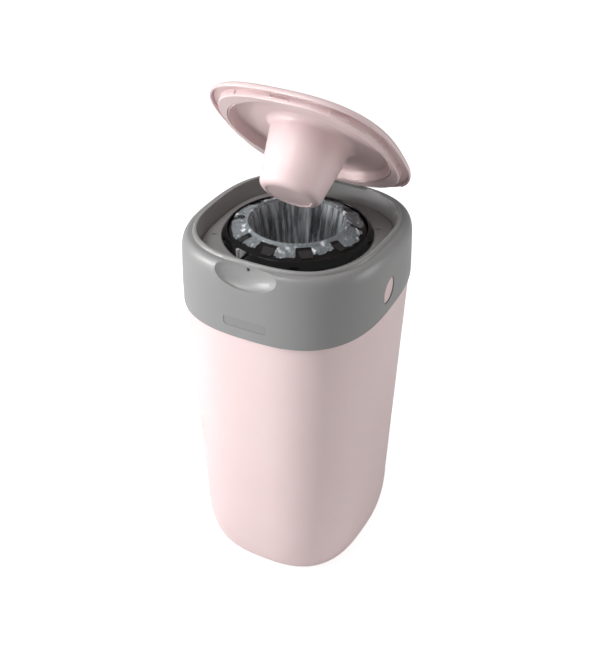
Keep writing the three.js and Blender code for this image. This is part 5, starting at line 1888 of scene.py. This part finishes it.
@dataclass
class Studio:
    """Camera, lamps, white floor and backdrop."""

    camera_place: Triple = (541.41, -1012.58, 1040.88)
    camera_right: Triple = (0.88148, 0.47222, 0.0)
    camera_up: Triple = (-0.25995, 0.48524, 0.83485)
    lens: float = 65.95
    farthest: float = 50.0
    floor_half: float = 6000.0
    floor_tone: float = 0.8
    floor_glow: float = 0.7
    world_strength: float = 0.33
    lamps: tuple[Lamp, ...] = (
        Lamp("key", (-2.0, -1.35, 0.85), (0, 0, 0.35), 1.3, 32.0),
        Lamp("beam", (-1.8, -1.7, 0.8), (-0.05, -0.1, 0.37), 0.4, 0.4, 22.0),
        Lamp("side", (1.9, 0.9, 0.45), (0, 0, 0.3), 1.0, 10.5),
        Lamp("top", (-0.7, -1.0, 2.2), (0, 0, 0.4), 0.9, 23.0),
    )

    def camera(self) -> None:
        """Places the camera at the photograph's point of view."""
        data = bpy.data.cameras.new("Photograph")
        data.lens = self.lens
        data.clip_end = self.farthest
        made = placed("Photograph", data)
        right, up = Vector(self.camera_right), Vector(self.camera_up)
        turn = Matrix((right, up, right.cross(up))).transposed().to_4x4()
        made.matrix_world = Matrix.Translation(Vector(self.camera_place) * MM) @ turn
        bpy.context.scene.camera = made

    @staticmethod
    def seen(nodes: Nodes, strength: float) -> bpy.types.Node:
        """Makes a strength for rays that show the backdrop, from the camera and through film.

        Args:
            nodes: The tree that uses it.
            strength: Its value for those rays.

        Returns:
            The node that gives it.
        """
        path = nodes.add("ShaderNodeLightPath")
        either = nodes.add("ShaderNodeMath", operation="MAXIMUM")
        scaled = nodes.add("ShaderNodeMath", {1: strength}, operation="MULTIPLY")
        nodes.wire((path, "Is Camera Ray", either, 0), (path, "Is Transmission Ray", either, 1))
        nodes.wire((either, 0, scaled, 0))
        return scaled

    def floor(self) -> None:
        """Lays the pale floor, which is bright to the camera and takes the object's shadow."""
        bm = bmesh.new()
        bmesh.ops.create_grid(bm, x_segments=1, y_segments=1, size=self.floor_half * MM)
        made = placed_mesh("floor", bm)
        shade = Shade("White floor", "ShaderNodeAddShader")
        matt = shade.add("ShaderNodeBsdfDiffuse", {"Color": (*[self.floor_tone] * 3, 1.0)})
        glow = shade.add("ShaderNodeEmission")
        shade.wire((self.seen(shade, self.floor_glow), 0, glow, "Strength"))
        shade.wire((matt, 0, shade.surface, 0), (glow, 0, shade.surface, 1))
        made.data.materials.append(shade.material)

    def world(self) -> None:
        """Fills the air with soft white light, and shows white behind the object."""
        world = bpy.data.worlds.new("White air")
        bpy.context.scene.world = world
        world.use_nodes = True
        nodes = Nodes(world.node_tree)
        back = world.node_tree.nodes["Background"]
        back.inputs["Color"].default_value = (1.0, 1.0, 1.0, 1.0)
        total = nodes.add("ShaderNodeMath", {1: self.world_strength}, operation="ADD")
        shown = self.seen(nodes, 1.0 - self.world_strength)
        nodes.wire((shown, 0, total, 0), (total, 0, back, "Strength"))

    def build(self) -> None:
        """Sets up camera, lamps, floor and backdrop."""
        self.camera()
        for lamp in self.lamps:
            lamp.build()
        self.floor()
        self.world()
        bpy.context.scene.view_settings.view_transform = "Standard"


def main() -> None:
    """Builds every piece in order."""
    logging.basicConfig(level=logging.INFO, format="%(name)s %(message)s")
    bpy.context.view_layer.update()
    cassette = Cassette()
    for section in (Tub(), Head(), Tray(), cassette, FilmSleeve(cassette), Lid(), SmallParts(), Studio()):
        log.info("building %s", type(section).__name__)
        section.build()


if __name__ == "__main__":
    main()
